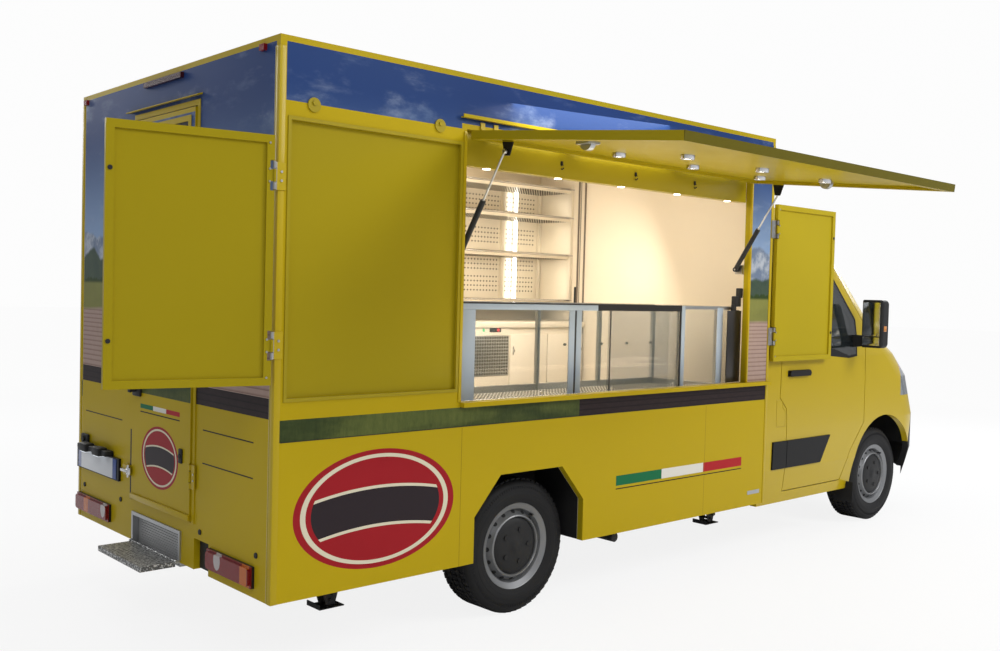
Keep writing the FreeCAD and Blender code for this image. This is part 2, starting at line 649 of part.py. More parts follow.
def knuckles():
    front = d.rear_axle_x + d.wheelbase
    hub_face = d.track_half + d.hub_out
    hub = round_bar("y", (front, -hub_face, d.axle_height), d.hub_radius, hub_face - d.kingpin_half + 35)
    disc = round_bar("y", (front, -d.brake_out, d.axle_height), d.brake_radius, d.brake_thick)
    upright = prism("XZ", [(front - 45, d.axle_height - 90), (front + 45, d.axle_height - 90),
                           (front + 32, d.axle_height + 120), (front - 32, d.axle_height + 120)],
                    -d.kingpin_half - 10, 35 - d.kingpin_half)
    arm = block((front - 150, front - 30), (5 - d.kingpin_half, 30 - d.kingpin_half),
                (d.axle_height - 80, d.axle_height - 55))
    clamp = block((front - 30, front + 30), (-d.kingpin_half, -645), (d.axle_height + 85, d.axle_height + 115))
    right = fuse(hub, disc, upright, arm, clamp)
    node("knuckle_right", right)
    node("knuckle_left", mirror(right))


def channel(x, side):
    """A frame rail pressed as a channel, its open side inwards."""
    inside = d.rail_half - d.rail_wide
    low, high = (inside, d.rail_half) if side > 0 else (-d.rail_half, -inside)
    hollow = (low - 1, high - d.rail_wall) if side > 0 else (low + d.rail_wall, high + 1)
    return cut(block(x, (low, high), (d.rail_low, d.rail_high)),
               block((x[0] - 1, x[1] + 1), hollow, (d.rail_low + d.rail_wall, d.rail_high - d.rail_wall)))


CROSS_BARS = (160, 900, 1900, 2700, 3500, 4620, 5560)   # rear face x
OUTRIGGERS = (300, 2300, 3000)                          # rear face x


def chassis():
    rails = [channel((d.rails_rear, d.rails_front), side) for side in (1, -1)]
    within = d.rail_half - d.rail_wall
    cross = [block((x, x + d.bar_long), (-within, within), (d.rail_low + 20, d.rail_high - d.rail_wall))
             for x in CROSS_BARS]
    out = []
    for x in OUTRIGGERS:
        arm_outline = [(d.rail_half, d.rail_low + 12), (d.box_half - d.wall, d.rail_high - 22),
                       (d.box_half - d.wall, d.rail_high + 10), (d.rail_half, d.rail_high + 10)]
        arm = prism("YZ", arm_outline, x, x + d.outrigger_long)
        out += [arm, mirror(arm)]
    front = d.rear_axle_x + d.wheelbase
    wishbone = prism("XY", [(front - 150, -d.rail_half), (front - 150, d.rail_wide - d.rail_half),
                            (front + 110, d.rail_wide - d.rail_half), (front + 110, -d.rail_half),
                            (front + 35, -745), (front - 35, -745)], 215, 243)
    hanger = block((front - 60, front + 60), (-d.rail_half, d.rail_wide - d.rail_half), (243, d.rail_low + 1))
    damper = fuse(round_bar("z", (front, -675, 470), 24, 459.5), round_bar("z", (front, -675, 700), 62, 215))
    arm_end = d.rear_axle_x + 455
    carrier = block((arm_end, arm_end + 70), (-650, d.rail_wide - d.rail_half), (309, d.rail_low + 1))
    cheeks = []
    for x in (d.jack_rear_x, d.jack_front_x):
        for off in (-d.jack_half - d.knuckle_gap - d.leaf, d.jack_half + d.knuckle_gap):
            cheek = block((x - 10, x + 45), (off - d.jack_y, off - d.jack_y + d.leaf), (282, d.rail_high - 20))
            cheeks += [cheek, mirror(cheek)]
    node("chassis_frame", fuse(*rails, *cross, *out, wishbone, hanger, damper, carrier, mirror(wishbone),
                               mirror(hanger), mirror(damper), mirror(carrier), exhaust(), *cheeks))
    node("engine_block", block((4900, 5480), (-360, 360), (400, 850)))
    node("fuel_tank", prism("YZ", [(-150, 300), (-120, 285), (320, 285), (350, 300), (350, 358), (-150, 358)],
                            3720, 4520))


def rear_axle():
    """A dead beam on trailing arms, with a damper, a hub and a brake disc at each end."""
    axle = d.rear_axle_x
    hub_face, beam_end = d.track_half + d.hub_out, 717
    beam = block((axle - 35, axle + 35), (-beam_end, beam_end), (285, 355))
    stub = round_bar("y", (axle, -hub_face, d.axle_height), d.hub_radius, hub_face - beam_end + 1)
    disc = round_bar("y", (axle, -d.brake_out, d.axle_height), d.brake_radius, d.brake_thick)
    arm = prism("XZ", [(axle - 30, 285), (axle + 480, 240), (axle + 520, 262), (axle + 520, 300),
                       (axle + 470, 308), (axle - 30, 340)], -650, -590)
    pivot = round_bar("y", (axle + 490, -665, 275), 34, 90)
    damper = round_bar("z", (axle - 52, -620, 300), 27, d.floor_top - d.floor_thick - 300)
    node("rear_axle", fuse(beam, stub, disc, arm, pivot, damper, mirror(stub), mirror(disc), mirror(arm),
                           mirror(pivot), mirror(damper)))


def exhaust():
    """A silencer under the right side, with a pipe from the engine and an outlet behind the sill."""
    y, z = -250, 306
    silencer = round_bar("x", (2120, y, z), d.silencer_radius, 620)
    front_pipe = round_bar("x", (2740, y, z), d.pipe_radius, 2220)
    rise = round_bar("z", (4940, y, z), d.pipe_radius, 400 - z)
    outlet = round_bar("y", (2150, -1020, z), d.pipe_radius, 1020 + y)
    return fuse(silencer, front_pipe, rise, outlet)


# ---------------------------------------------------------------- moving panels

AWNING_HINGES = (1120, 1700, 2580, 3160)                # middle x
BOARD_HINGES = (1400, 2080)                             # middle z
DOOR_HINGES = (760, 1500, 2240)                         # middle z


def awning():
    """A framed lid, drawn level outwards from its hinge axis and then drooped."""
    low_x, high_x = d.serve_rear + d.gap, d.serve_front - d.gap
    edge, near = d.awning_border, d.knuckle + d.knuckle_gap
    hollow_z = d.awning_hollow - d.awning_thick
    panel = cut(
        block((low_x, high_x), (-d.awning_length, -near), (-d.awning_thick, 0)),
        block((low_x + edge, high_x - edge), (edge - d.awning_length, -near - edge),
              (-d.awning_thick - 1, hollow_z)))
    barrels = []
    for middle in AWNING_HINGES:
        moving, _ = spans_about(size(middle))
        barrels += bars("x", (0, 0, 0), d.knuckle, [moving])
        barrels.append(block(moving, (-near - d.gap, 0), (-d.knuckle, 0)))
    plates = []
    foot, tip = 42, 18
    for x in (d.strut_rear_x + 14, d.strut_front_x - 20):
        plates.append(prism("YZ", [(-d.strut_pin_along - foot, hollow_z),
                                   (-d.strut_pin_along - tip, -d.strut_pin_deep - tip),
                                   (tip - d.strut_pin_along, -d.strut_pin_deep - tip),
                                   (foot - d.strut_pin_along, hollow_z)], x, x + d.gap))
    node("awning", held([fuse(panel, *barrels, *plates)], 0, -d.box_half - d.awning_pivot_out,
                        d.awning_pivot_z, axis=(1, 0, 0), turn=d.awning_droop))


def strut(name, x):
    """A gas strut raised to its stop: its tube pivots on the jamb, its rod's eye reaches the awning."""
    droop = math.radians(d.awning_droop.value)
    along, deep = d.strut_pin_along.value, d.strut_pin_deep.value
    top_y = -(d.box_half + d.awning_pivot_out).value - along * math.cos(droop) + deep * math.sin(droop)
    top_z = d.awning_pivot_z.value - along * math.sin(droop) - deep * math.cos(droop)
    rise, run = top_z - d.strut_low_z.value, top_y - d.strut_low_y.value
    reach = math.hypot(rise, run)
    lean = math.degrees(math.atan2(-run, rise))
    tube_end = d.strut_tube_length
    tube = cut(
        fuse(round_bar("z", (0, 0, d.strut_radius / 2), d.strut_radius, tube_end - d.strut_radius / 2),
             round_bar("x", (-8, 0, 0), d.strut_radius, 16)),
        round_bar("x", (-9, 0, 0), d.strut_rod + 0.5, 18),
        round_bar("z", (0, 0, d.strut_radius * 2), d.strut_rod + 1, tube_end))
    rod = fuse(round_bar("z", (0, 0, tube_end - d.strut_overlap), d.strut_rod,
                         size(reach) - tube_end + d.strut_overlap - d.strut_rod),
               cut(round_bar("x", (-7, 0, reach), d.strut_eye, 14),
                   round_bar("x", (-8, 0, reach), d.strut_rod, 16)))
    for label, thing in ((f"strut_tube_{name}", tube), (f"strut_rod_{name}", rod)):
        node(label, held([thing], x, d.strut_low_y, d.strut_low_z, axis=(1, 0, 0), turn=lean))


def side_board(name, hinge_x, width, way, swing):
    """A framed board, drawn from its hinge axis outwards in the named way (+1 forward) and swung."""
    span = (-width, 0) if way < 0 else (0, width)
    inside = (span[0] + d.board_frame, span[1] - d.board_frame)
    low = d.board_low
    notch_x = (-2 * d.knuckle - 4, 1) if way < 0 else (-1, 2 * d.knuckle + 4)
    leaf_x = (-2 * d.knuckle - 5, 0) if way < 0 else (0, 2 * d.knuckle + 5)
    notches, barrels = [], []
    for middle in BOARD_HINGES:
        moving, fixed = spans_about(size(middle))
        notches.append(block(notch_x, (-1, d.board_thick + 1),
                             (fixed[0][0] - d.knuckle_gap, fixed[1][1] + d.knuckle_gap)))
        barrels += bars("z", (0, 0, 0), d.knuckle, [moving])
        barrels.append(block(leaf_x, (0, d.knuckle), moving))
    board = cut(block(span, (0, d.board_thick), (low, low + d.board_height)),
                block(inside, (-1, d.board_hollow), (low + d.board_frame, low + d.board_height - d.board_frame)),
                *notches)
    node(f"side_board_{name}", held([fuse(board, *barrels)], hinge_x, -d.box_half - d.board_out, 0,
                                    turn=-swing))


def rear_door():
    """A framed door with a window, notched at its hinge edge for the fixed knuckles."""
    low_x = -d.door_proud
    hinge_y = d.door_right - d.door_hinge_out
    notches, barrels = [], []
    for middle in DOOR_HINGES:
        moving, fixed = spans_about(size(middle))
        notches.append(block((low_x - 1, low_x + d.knuckle + 4), (d.door_right - 1, hinge_y + d.knuckle + 5),
                             (fixed[0][0] - d.knuckle_gap, fixed[1][1] + d.knuckle_gap)))
        barrels += bars("z", (low_x, hinge_y, 0), d.knuckle, [moving])
        barrels.append(block((low_x, low_x + d.knuckle), (hinge_y, hinge_y + d.knuckle + 6), moving))
    inside = (d.door_right + d.window_border, d.door_left - d.window_border)
    thick = (low_x, low_x + d.door_thick)
    door = cut(
        block(thick, (d.door_right, d.door_left), (d.door_sill + d.gap, d.door_head)),
        block((thick[0] - 1, thick[1] + 1), inside, (d.window_low, d.window_high)),
        *notches)
    rim = cut(
        block((low_x - d.trim_proud, low_x), (inside[0] - d.trim_wide, inside[1] + d.trim_wide),
              (d.window_low - d.trim_wide, d.window_high + d.trim_wide)),
        block((low_x - d.trim_proud - 1, low_x + 1), inside, (d.window_low, d.window_high)))
    node("rear_door", fuse(door, rim, *barrels))
    pane = (low_x + 2 * d.glass_thick, low_x + 3 * d.glass_thick)
    node("rear_door_glass", block(pane, inside, (d.window_low, d.window_high)))


def hinge_leaves():
    """The fixed halves of the barrel hinges, the struts' lower brackets and the door's catch."""
    face = -d.box_half
    things = []
    pivot_y = face - d.awning_pivot_out
    for middle in AWNING_HINGES:
        for span in spans_about(size(middle))[1]:
            things += bars("x", (0, pivot_y, d.awning_pivot_z), d.knuckle, [span])
            things.append(block(span, (pivot_y, face - 1), (d.awning_pivot_z, d.serve_head + d.leaf)))
            things.append(block(span, (face - d.gap, face), (d.serve_head, d.serve_head + d.wall)))
    board_y = face - d.board_out
    for hinge_x, way in ((d.board_rear_x, 1), (d.board_front_x, -1)):
        near, far = hinge_x + 12 * way, hinge_x + d.leaf_wide * way
        plate_x = (near, far) if way > 0 else (far, near)
        tongue_x = (hinge_x, near) if way > 0 else (near, hinge_x)
        for middle in BOARD_HINGES:
            spans = spans_about(size(middle))[1]
            things.append(block(plate_x, (face - d.leaf, face), (spans[0][0], spans[1][1])))
            for span in spans:
                things += bars("z", (hinge_x, board_y, 0), d.knuckle, [span])
                things.append(block(tongue_x, (face - d.leaf, face), span))
    door_y, door_x = d.door_right - d.door_hinge_out, -d.door_proud
    for middle in DOOR_HINGES:
        spans = spans_about(size(middle))[1]
        things.append(block((door_x, -d.trim_proud), (door_y - d.leaf_wide + 12, door_y - 12),
                            (spans[0][0], spans[1][1])))
        for span in spans:
            things += bars("z", (door_x, door_y, 0), d.knuckle, [span])
            things.append(block((door_x, -d.trim_proud), (door_y - 12, door_y), span))
    inner = face + d.wall
    for x, way in ((d.strut_rear_x, -1), (d.strut_front_x, 1)):
        ear = (x - 26, x - 20) if way < 0 else (x + 20, x + 26)
        pad = (x - 75, x - 20) if way < 0 else (x + 20, x + 75)
        pin = x - 26 if way < 0 else x - 9
        height = (d.strut_low_z - 28, d.strut_low_z + 28)
        things.append(block(pad, (inner, inner + d.gap), height))
        things.append(block(ear, (inner, d.strut_low_y + 16), height))
        things.append(round_bar("x", (pin, d.strut_low_y, d.strut_low_z), d.strut_rod, 35))
    catch_z = (d.latch_z - 25, d.latch_z + 25)
    things.append(block((-22, -d.trim_proud), (d.latch_y - 26, d.latch_y + 44), catch_z))
    node("hinge_leaves", fuse(*things))


def step():
    """A boxed well in the rear wall and a tread that folds up over it."""
    well_y = (d.step_right, d.step_left)
    well = cut(
        block((0, d.step_box), well_y, (d.step_low, d.step_high)),
        block((-1, d.step_box - d.step_skin), (d.step_right + d.step_skin, d.step_left - d.step_skin),
              (d.step_low + d.step_skin, d.step_high - d.step_skin)))
    rim = cut(
        block((-d.step_rim + 2, 0), (d.step_right - d.step_rim, d.step_left + d.step_rim),
              (d.step_low + d.step_thick + 8, d.step_high + d.step_rim)),
        block((-d.step_rim, 1), (d.step_right + d.step_skin, d.step_left - d.step_skin),
              (d.step_low, d.step_high - d.step_skin)))
    pivot = (-d.step_pivot_out, d.step_low + d.step_thick)
    lugs = []
    for low, high in ((d.step_right, d.step_right + 10), (d.step_left - 10, d.step_left)):
        lugs.append(round_bar("y", (pivot[0], low, pivot[1]), 9, high - low))
        lugs.append(block((pivot[0], 1), (low, high), (pivot[1] - 9, pivot[1] + 9)))
    node("step_housing", fuse(well, rim, *lugs))
    tread_y = (d.step_right + 15, d.step_left - 15)
    edge = 22
    tread = cut(
        block((-d.step_reach, -d.step_pivot_out), tread_y, (d.step_low, pivot[1])),
        block((edge - d.step_reach, -d.step_pivot_out - edge), (tread_y[0] + edge, tread_y[1] - edge),
              (d.step_low - 1, pivot[1] - d.step_skin)))
    node("step_tread", fuse(tread, round_bar("y", (pivot[0], tread_y[0], pivot[1]), d.step_skin,
                                             tread_y[1] - tread_y[0])))


def jacks():
    """Four corner jack legs, folded up along the sills: a channel, a pivot boss and a screwed foot."""
    for end, x in (("rear", d.jack_rear_x), ("front", d.jack_front_x)):
        low, high = d.jack_z - d.jack_deep, d.jack_z + d.jack_deep
        y = -d.jack_y
        middle = x + d.jack_pivot
        leg = cut(
            block((middle, x + d.jack_leg), (y - d.jack_half, y + d.jack_half), (low, high)),
            block((middle + 30, x + d.jack_leg - d.jack_skin),
                  (y - d.jack_half + d.jack_skin, y + d.jack_half - d.jack_skin), (low + d.jack_skin, high + 1)))
        boss = round_bar("y", (middle, y - d.jack_half, d.jack_z), d.jack_deep, 2 * d.jack_half)
        foot_x = x + d.jack_leg - 32
        screw = round_bar("z", (foot_x, y, low - 12), 11, 50)
        foot = round_bar("z", (foot_x, y, low - 22), d.jack_foot, 10)
        right = fuse(leg, boss, screw, foot)
        node(f"jack_leg_{end}_right", right)
        node(f"jack_leg_{end}_left", mirror(right))


# ---------------------------------------------------------------- inside

CASE_POSTS = 5
SHELVES = (1250, 1535, 1790, 2060)                      # height of each shelf
SEAT_SIDE = [(3930, 562), (4400, 562), (4432, 700), (4405, 760), (4000, 738), (3905, 1330), (3880, 1352),
             (3806, 1342), (3790, 1312), (3884, 640)]   # x, z
HEADREST_SIDE = [(3776, 1392), (3862, 1397), (3850, 1552), (3836, 1566), (3786, 1560), (3772, 1545)]
SEAT_MIDDLE, SEAT_HALF, HEADREST_HALF = 500, 240, 135


def display_counter():
    inner = -(d.box_half - d.wall)
    front = inner + 45
    back = front + d.case_deep
    beside_arch = d.rear_axle_x + d.arch_half + 3 * d.liner_thick
    deep = -inner - d.liner_deep - 45
    case = cut(
        block((d.case_rear, d.case_front), (front, back), (d.case_low, d.case_top)),
        block((d.case_rear + d.case_skin, d.case_front - d.case_skin), (front + 38, back - d.case_skin),
              (d.case_top - d.case_well, d.case_top + 1)))
    base = block((d.case_rear, d.case_front), (-deep, back), (d.floor_top, d.case_low))
    side = block((beside_arch, d.case_front), (front, -deep), (d.floor_top, d.case_low))
    pane = 8
    post_y = (front + pane, front + pane + d.case_post)
    post_x = (d.case_rear + pane, d.case_front - pane - d.case_post)
    rail_z = d.case_top + d.case_glass - pane
    posts = []
    for index in range(CASE_POSTS):
        low = post_x[0] + (post_x[1] - post_x[0]) * (index / (CASE_POSTS - 1))
        posts.append(block((low, low + d.case_post), post_y, (d.case_top - 1, rail_z)))
    rail = block((d.case_rear + pane, d.case_front - pane), post_y, (rail_z - d.case_post, rail_z))
    node("display_case", fuse(case, base, side, *posts, rail))
    node("display_glass", cut(
        block((d.case_rear, d.case_front), (front, back), (d.case_top, d.case_top + d.case_glass)),
        block((d.case_rear + pane, d.case_front - pane), (front + pane, back + 1),
              (d.case_top - 1, d.case_top + d.case_glass - pane))))


def shelf_rack():
    """A wall rack: a back sheet, three posts and shelves with turned-up lips."""
    wall = d.box_half - d.wall
    front = wall - d.rack_deep
    back = block((d.rack_rear, d.rack_front), (wall - 4, wall), (d.rack_low, d.rack_high))
    posts = []
    for x in (d.rack_rear, (d.rack_rear + d.rack_front) / 2, d.rack_front - d.rack_post):
        posts.append(block((x, x + d.rack_post), (wall - 4 - d.rack_post, wall - 3), (d.rack_low, d.rack_high)))
    trays = []
    lip, skin = 58, 4
    for z in SHELVES:
        trays.append(prism("YZ", [
            (wall - 3, z), (wall - 3, z + skin), (front + 30, z + skin), (front + 12, z + lip),
            (front, z + lip), (front, z + lip - skin), (front + 8, z + lip - skin), (front + 24, z)],
            d.rack_rear, d.rack_front))
    node("shelf_rack", fuse(back, *posts, *trays))


def back_cabinets():
    """Floor cabinets under a worktop, with a recessed plinth and gaps between the doors."""
    wall = d.box_half - d.wall
    front = wall - d.cabinet_deep
    grooves = [block((d.cabinet_rear - 1, d.cabinet_front + 1), (front - 1, front + 45),
                     (d.floor_top - 1, d.floor_top + d.plinth))]
    doors = 4
    for index in range(1, doors):
        x = d.cabinet_rear + (d.cabinet_front - d.cabinet_rear) * (index / doors)
        grooves.append(block((x - 2, x + 2), (front - 1, front + 18),
                             (d.floor_top + d.plinth + 12, d.worktop_z - d.worktop_thick - 12)))
    grooves.append(block((d.cabinet_rear + 12, d.cabinet_front - 12), (front - 1, front + 14),
                         (d.worktop_z - d.worktop_thick - 30, d.worktop_z - d.worktop_thick - 12)))
    carcass = cut(block((d.cabinet_rear, d.cabinet_front), (front, wall),
                        (d.floor_top, d.worktop_z - d.worktop_thick)), *grooves)
    top = block((d.cabinet_rear - 10, d.cabinet_front), (front - 20, wall),
                (d.worktop_z - d.worktop_thick, d.worktop_z))
    node("back_cabinets", fuse(carcass, top))


def seats():
    made = []
    for y in (-SEAT_MIDDLE, SEAT_MIDDLE):
        cushion = prism("XZ", SEAT_SIDE, y - SEAT_HALF, y + SEAT_HALF)
        headrest = prism("XZ", HEADREST_SIDE, y - HEADREST_HALF, y + HEADREST_HALF)
        stems = [round_bar("z", (3830, y + off, 1320), 7, 90) for off in (-55, 55)]
        base = block((3960, 4370), (y - SEAT_HALF + 40, y + SEAT_HALF - 40), (540, 563))
        made.append(fuse(cushion, headrest, *stems, base))
    node("seats", fuse(*made))


def tail_lamps():
    """Rear light clusters stepped in two levels, corner markers and the high brake light."""
    lamps = (
        # right edge y, left edge y, low z, high z, depth, step (0 for none)
        (-921, -523, 378, 470, 16, 9),
        (594, 1037, 378, 470, 16, 9),
        (-187, 221, 2590, 2616, 18, 0),
        (-948, -908, 2598, 2624, 16, 0),
        (972, 1012, 2598, 2624, 16, 0),
    )
    made = []
    for right, left, low, high, deep, inset in lamps:
        made.append(block((-deep, 0), (right, left), (low, high)))
        if inset:
            made.append(prism("YZ", [
                (right + inset, low + 2 * inset), (right + 2 * inset, low + inset), (left - 2 * inset, low + inset),
                (left - inset, low + 2 * inset), (left - inset, high - 2 * inset), (left - 2 * inset, high - inset),
                (right + 2 * inset, high - inset), (right + inset, high - 2 * inset)], -deep - 12, -deep))
    node("tail_lamps", fuse(*made))


def build():
    roof()
    side_walls()
    end_walls()
    floor()
    cab_panels()
    mirrors()
    wheels()
    knuckles()
    chassis()
    rear_axle()
    awning()
    strut("rear", d.strut_rear_x)
    strut("front", d.strut_front_x)
    side_board("rear", d.board_rear_x, d.board_width, -1, d.board_swing)
    side_board("front", d.board_front_x, d.board_front_width, 1, size(0))
    rear_door()
    hinge_leaves()
    step()
    jacks()
    display_counter()
    shelf_rack()
    back_cabinets()
    seats()
    tail_lamps()
    document.recompute()


def write():
    for thing in document.Objects:
        if {"Invalid", "Error"} & set(thing.State):
            raise RuntimeError(f"{thing.Label}: {thing.State}")
    os.makedirs("parts", exist_ok=True)
    for label, thing in nodes.items():
        if thing.Shape.isNull() or not thing.Shape.isValid():
            raise RuntimeError(f"{label}: no valid shape")
        thing.Shape.exportStep(f"parts/{label}.step")


build()
write()
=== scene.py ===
"""A food truck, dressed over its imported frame: paint, printed wrap, glass, lamps, wheels and fittings.

Row frame, metres: x forward to the cab, y to the vehicle's left, z up from the ground.
"""
import json
import math

import bmesh
import bpy
from mathutils import Matrix, Vector
from mathutils.bvhtree import BVHTree


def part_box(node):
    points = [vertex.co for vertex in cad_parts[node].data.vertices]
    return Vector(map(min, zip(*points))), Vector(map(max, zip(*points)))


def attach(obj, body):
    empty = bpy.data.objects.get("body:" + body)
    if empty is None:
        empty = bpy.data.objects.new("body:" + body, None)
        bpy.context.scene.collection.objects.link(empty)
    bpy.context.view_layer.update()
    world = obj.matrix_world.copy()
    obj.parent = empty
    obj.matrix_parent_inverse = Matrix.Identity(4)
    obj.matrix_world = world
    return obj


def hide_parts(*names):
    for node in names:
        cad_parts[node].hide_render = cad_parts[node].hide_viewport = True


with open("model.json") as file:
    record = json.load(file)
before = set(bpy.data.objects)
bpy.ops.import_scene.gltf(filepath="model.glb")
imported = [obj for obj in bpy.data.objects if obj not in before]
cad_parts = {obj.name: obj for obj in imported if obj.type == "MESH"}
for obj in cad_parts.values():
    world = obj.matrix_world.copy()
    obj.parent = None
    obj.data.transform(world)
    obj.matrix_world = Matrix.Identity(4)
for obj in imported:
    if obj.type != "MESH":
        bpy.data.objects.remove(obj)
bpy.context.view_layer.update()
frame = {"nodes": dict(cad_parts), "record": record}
NODES = frame["nodes"]
scene = bpy.context.scene


# ---------------------------------------------------------------- places read from the frame

def lo(node):
    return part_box(node)[0]


def hi(node):
    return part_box(node)[1]


def middle(node):
    return (lo(node) + hi(node)) / 2


BOX_REAR = lo("box_roof").x
BOX_FRONT = hi("box_roof").x
BOX_RIGHT = lo("box_roof").y
BOX_LEFT = hi("box_roof").y
BOX_TOP = hi("box_roof").z
BOX_LOW = lo("box_right_wall").z
CENTRE_Y = (BOX_RIGHT + BOX_LEFT) / 2
WHEELS = ("front_left", "front_right", "rear_left", "rear_right")
EAVES = lo("box_roof").z
PIVOT_Z = 2.385           # the awning's hinge axis
SLOTS = 16                # round the rim's face
RACK_LIP = 0.026          # height of a shelf's lip
HEADER_LOW = 2.228        # underside of the header board
GLASS_TOP = 1.585         # top of the case's glazing
WORKTOP = 1.432           # top of the chilled cabinets
DROOP = math.radians(5.5)  # how far the open awning leans below level
LID_STRETCH = 1.0046      # one over the cosine of that lean
LID_FALL = 0.0963         # its tangent
STRIP = (1.003, 1.093)    # the printed strip under the hatch, from and to
SKIN = 0.0012             # what lies within this of a wall's face is its film
LINED = 0.0385            # what lies deeper than this in a wall is its lining


def at(x, y, z):
    """A place measured forward of the box's rear wall, left of its right wall and up from the ground."""
    return Vector((BOX_REAR + x, BOX_RIGHT + y, z))


# ---------------------------------------------------------------- shader expressions

class Sock:
    """A shader socket that takes part in Python expressions."""

    def __init__(self, tree, socket):
        self.tree, self.socket = tree, socket

    def _math(self, operation, *values):
        return self.tree.add("ShaderNodeMath", {"operation": operation}, *values)

    def __add__(self, other):
        return self._math("ADD", self, other)

    def __sub__(self, other):
        return self._math("SUBTRACT", self, other)

    def __rsub__(self, other):
        return self._math("SUBTRACT", other, self)

    def __mul__(self, other):
        return self._math("MULTIPLY", self, other)

    def __truediv__(self, other):
        return self._math("DIVIDE", self, other)

    def above(self, other):
        return self._math("GREATER_THAN", self, other)

    def below(self, other):
        return self._math("LESS_THAN", self, other)

    def between(self, low, high):
        return self.above(low) * self.below(high)

    def fract(self):
        return self._math("FRACT", self)

    def floor(self):
        return self._math("FLOOR", self)

    def size(self):
        return self._math("ABSOLUTE", self)

    def power(self, other):
        return self._math("POWER", self, other)

    def either(self, other):
        return self._math("MAXIMUM", self, other)

    def ramp(self, low, high):
        """0 at low, 1 at high, smooth between."""
        return self.tree.add("ShaderNodeMapRange", {"interpolation_type": "SMOOTHSTEP"}, self, low, high,
                             0.0, 1.0)

    __radd__, __rmul__ = __add__, __mul__


class Shader:
    """A material's node tree, built by calls."""

    def __init__(self, name):
        self.material = bpy.data.materials.new(name)
        self.material.use_nodes = True
        self.nodes = self.material.node_tree.nodes
        self.links = self.material.node_tree.links
        self.nodes.clear()
        self.output = self.nodes.new("ShaderNodeOutputMaterial")

    def node(self, kind, settings=None, *inputs, **named):
        made = self.nodes.new(kind)
        for key, value in (settings or {}).items():
            if key == "stops":
                ramp = made.color_ramp
                while len(ramp.elements) < len(value):
                    ramp.elements.new(0.5)
                for element, (at, colour) in zip(ramp.elements, value):
                    element.position, element.color = at, (*colour, 1)
            else:
                setattr(made, key, value)
        for key, value in list(enumerate(inputs)) + [(k.replace("_", " "), v) for k, v in named.items()]:
            if value is None:
                continue
            if isinstance(value, Sock):
                self.links.new(value.socket, made.inputs[key])
            else:
                colour = made.inputs[key].type == "RGBA" and isinstance(value, tuple) and len(value) == 3
                made.inputs[key].default_value = (*value, 1) if colour else value
        return made

    def add(self, kind, settings=None, *inputs, out=0, **named):
        return Sock(self, self.node(kind, settings, *inputs, **named).outputs[out])

    def place(self):
        """Object coordinates as three numbers."""
        split = self.node("ShaderNodeSeparateXYZ", None, self.coords())
        return [Sock(self, split.outputs[i]) for i in range(3)]

    def coords(self):
        return self.add("ShaderNodeTexCoord", None, out=3)

    def normal(self):
        """The object's own normal, so that a print stays on its face as a door turns."""
        split = self.node("ShaderNodeSeparateXYZ", None, self.add("ShaderNodeTexCoord", None, out=1))
        return [Sock(self, split.outputs[i]) for i in range(3)]

    def noise(self, scale, detail=3.0, rough=0.5, stretch=(1, 1, 1), out=0):
        at = self.add("ShaderNodeMapping", None, self.coords(), Scale=stretch)
        return self.add("ShaderNodeTexNoise", None, Vector=at, Scale=scale, Detail=detail, Roughness=rough,
                        out=out)

    def mix(self, factor, first, second):
        made = self.node("ShaderNodeMix", {"data_type": "RGBA"})
        for index, value in ((0, factor), (6, first), (7, second)):
            if isinstance(value, Sock):
                self.links.new(value.socket, made.inputs[index])
            else:
                made.inputs[index].default_value = (*value, 1) if isinstance(value, tuple) else value
        return Sock(self, made.outputs[2])

    def bump(self, height, strength=0.3, distance=0.001):
        return self.add("ShaderNodeBump", None, Strength=strength, Distance=distance, Height=height)

    def finish(self, **sockets):
        principled = self.node("ShaderNodeBsdfPrincipled", None, **sockets)
        self.links.new(principled.outputs[0], self.output.inputs[0])
        return self.material


# ---------------------------------------------------------------- plain materials

def paint(name, colour, rough=0.30, coat=0.08, orange_peel=0.04):
    """Sprayed vehicle paint: a little variation, fine orange peel under a clear coat."""
    s = Shader(name)
    return s.finish(Base_Color=painted(s, colour), Roughness=rough + s.noise(6.0) * 0.08, Coat_Weight=coat,
                    Coat_Roughness=0.06, Specular_IOR_Level=0.18,
                    Normal=s.bump(s.noise(180.0, 2.0), orange_peel, 0.0006))


def painted(s, colour):
    """The colour with a soft drift and, low down, a trace of road dust."""
    z = s.place()[2]
    dusty = tuple(c * 0.88 + 0.004 for c in colour)
    dust = (1 - z.ramp(0.3, 0.75)) * s.noise(5.0, 4.0) * 0.5
    return s.mix((s.noise(1.3, 4.0) * 0.5).either(dust), colour, dusty)


def plastic(name, colour, rough=0.5, grain=900.0, strength=0.25):
    s = Shader(name)
    worn = s.noise(3.0, 5.0)
    return s.finish(Base_Color=s.mix(worn * 0.5, colour, tuple(c * 1.3 + 0.003 for c in colour)),
                    Roughness=rough + worn * 0.12, Specular_IOR_Level=0.28,
                    Normal=s.bump(s.noise(grain, 2.0), strength, 0.0004))


def metal(name, colour, rough=0.3, grain=(1, 1, 60), strength=0.08, metallic=1.0):
    """Metal with a fine brushed or drawn grain."""
    s = Shader(name)
    lines = s.noise(120.0, 3.0, stretch=grain)
    smudge = s.noise(2.5, 4.0)
    return s.finish(Base_Color=s.mix(smudge * 0.4, colour, tuple(c * 0.8 for c in colour)), Metallic=metallic,
                    Roughness=rough + lines * 0.10 + smudge * 0.05, Normal=s.bump(lines, strength, 0.0003))


def glass(name, colour, rough=0.02, alpha=0.25):
    """Thin clear sheet: mostly see-through with a glossy face."""
    s = Shader(name)
    smear = s.noise(2.0, 3.0)
    return s.finish(Base_Color=colour, Roughness=rough + smear * 0.02, Alpha=alpha + smear * 0.04,
                    Coat_Weight=1.0, Coat_Roughness=0.02)


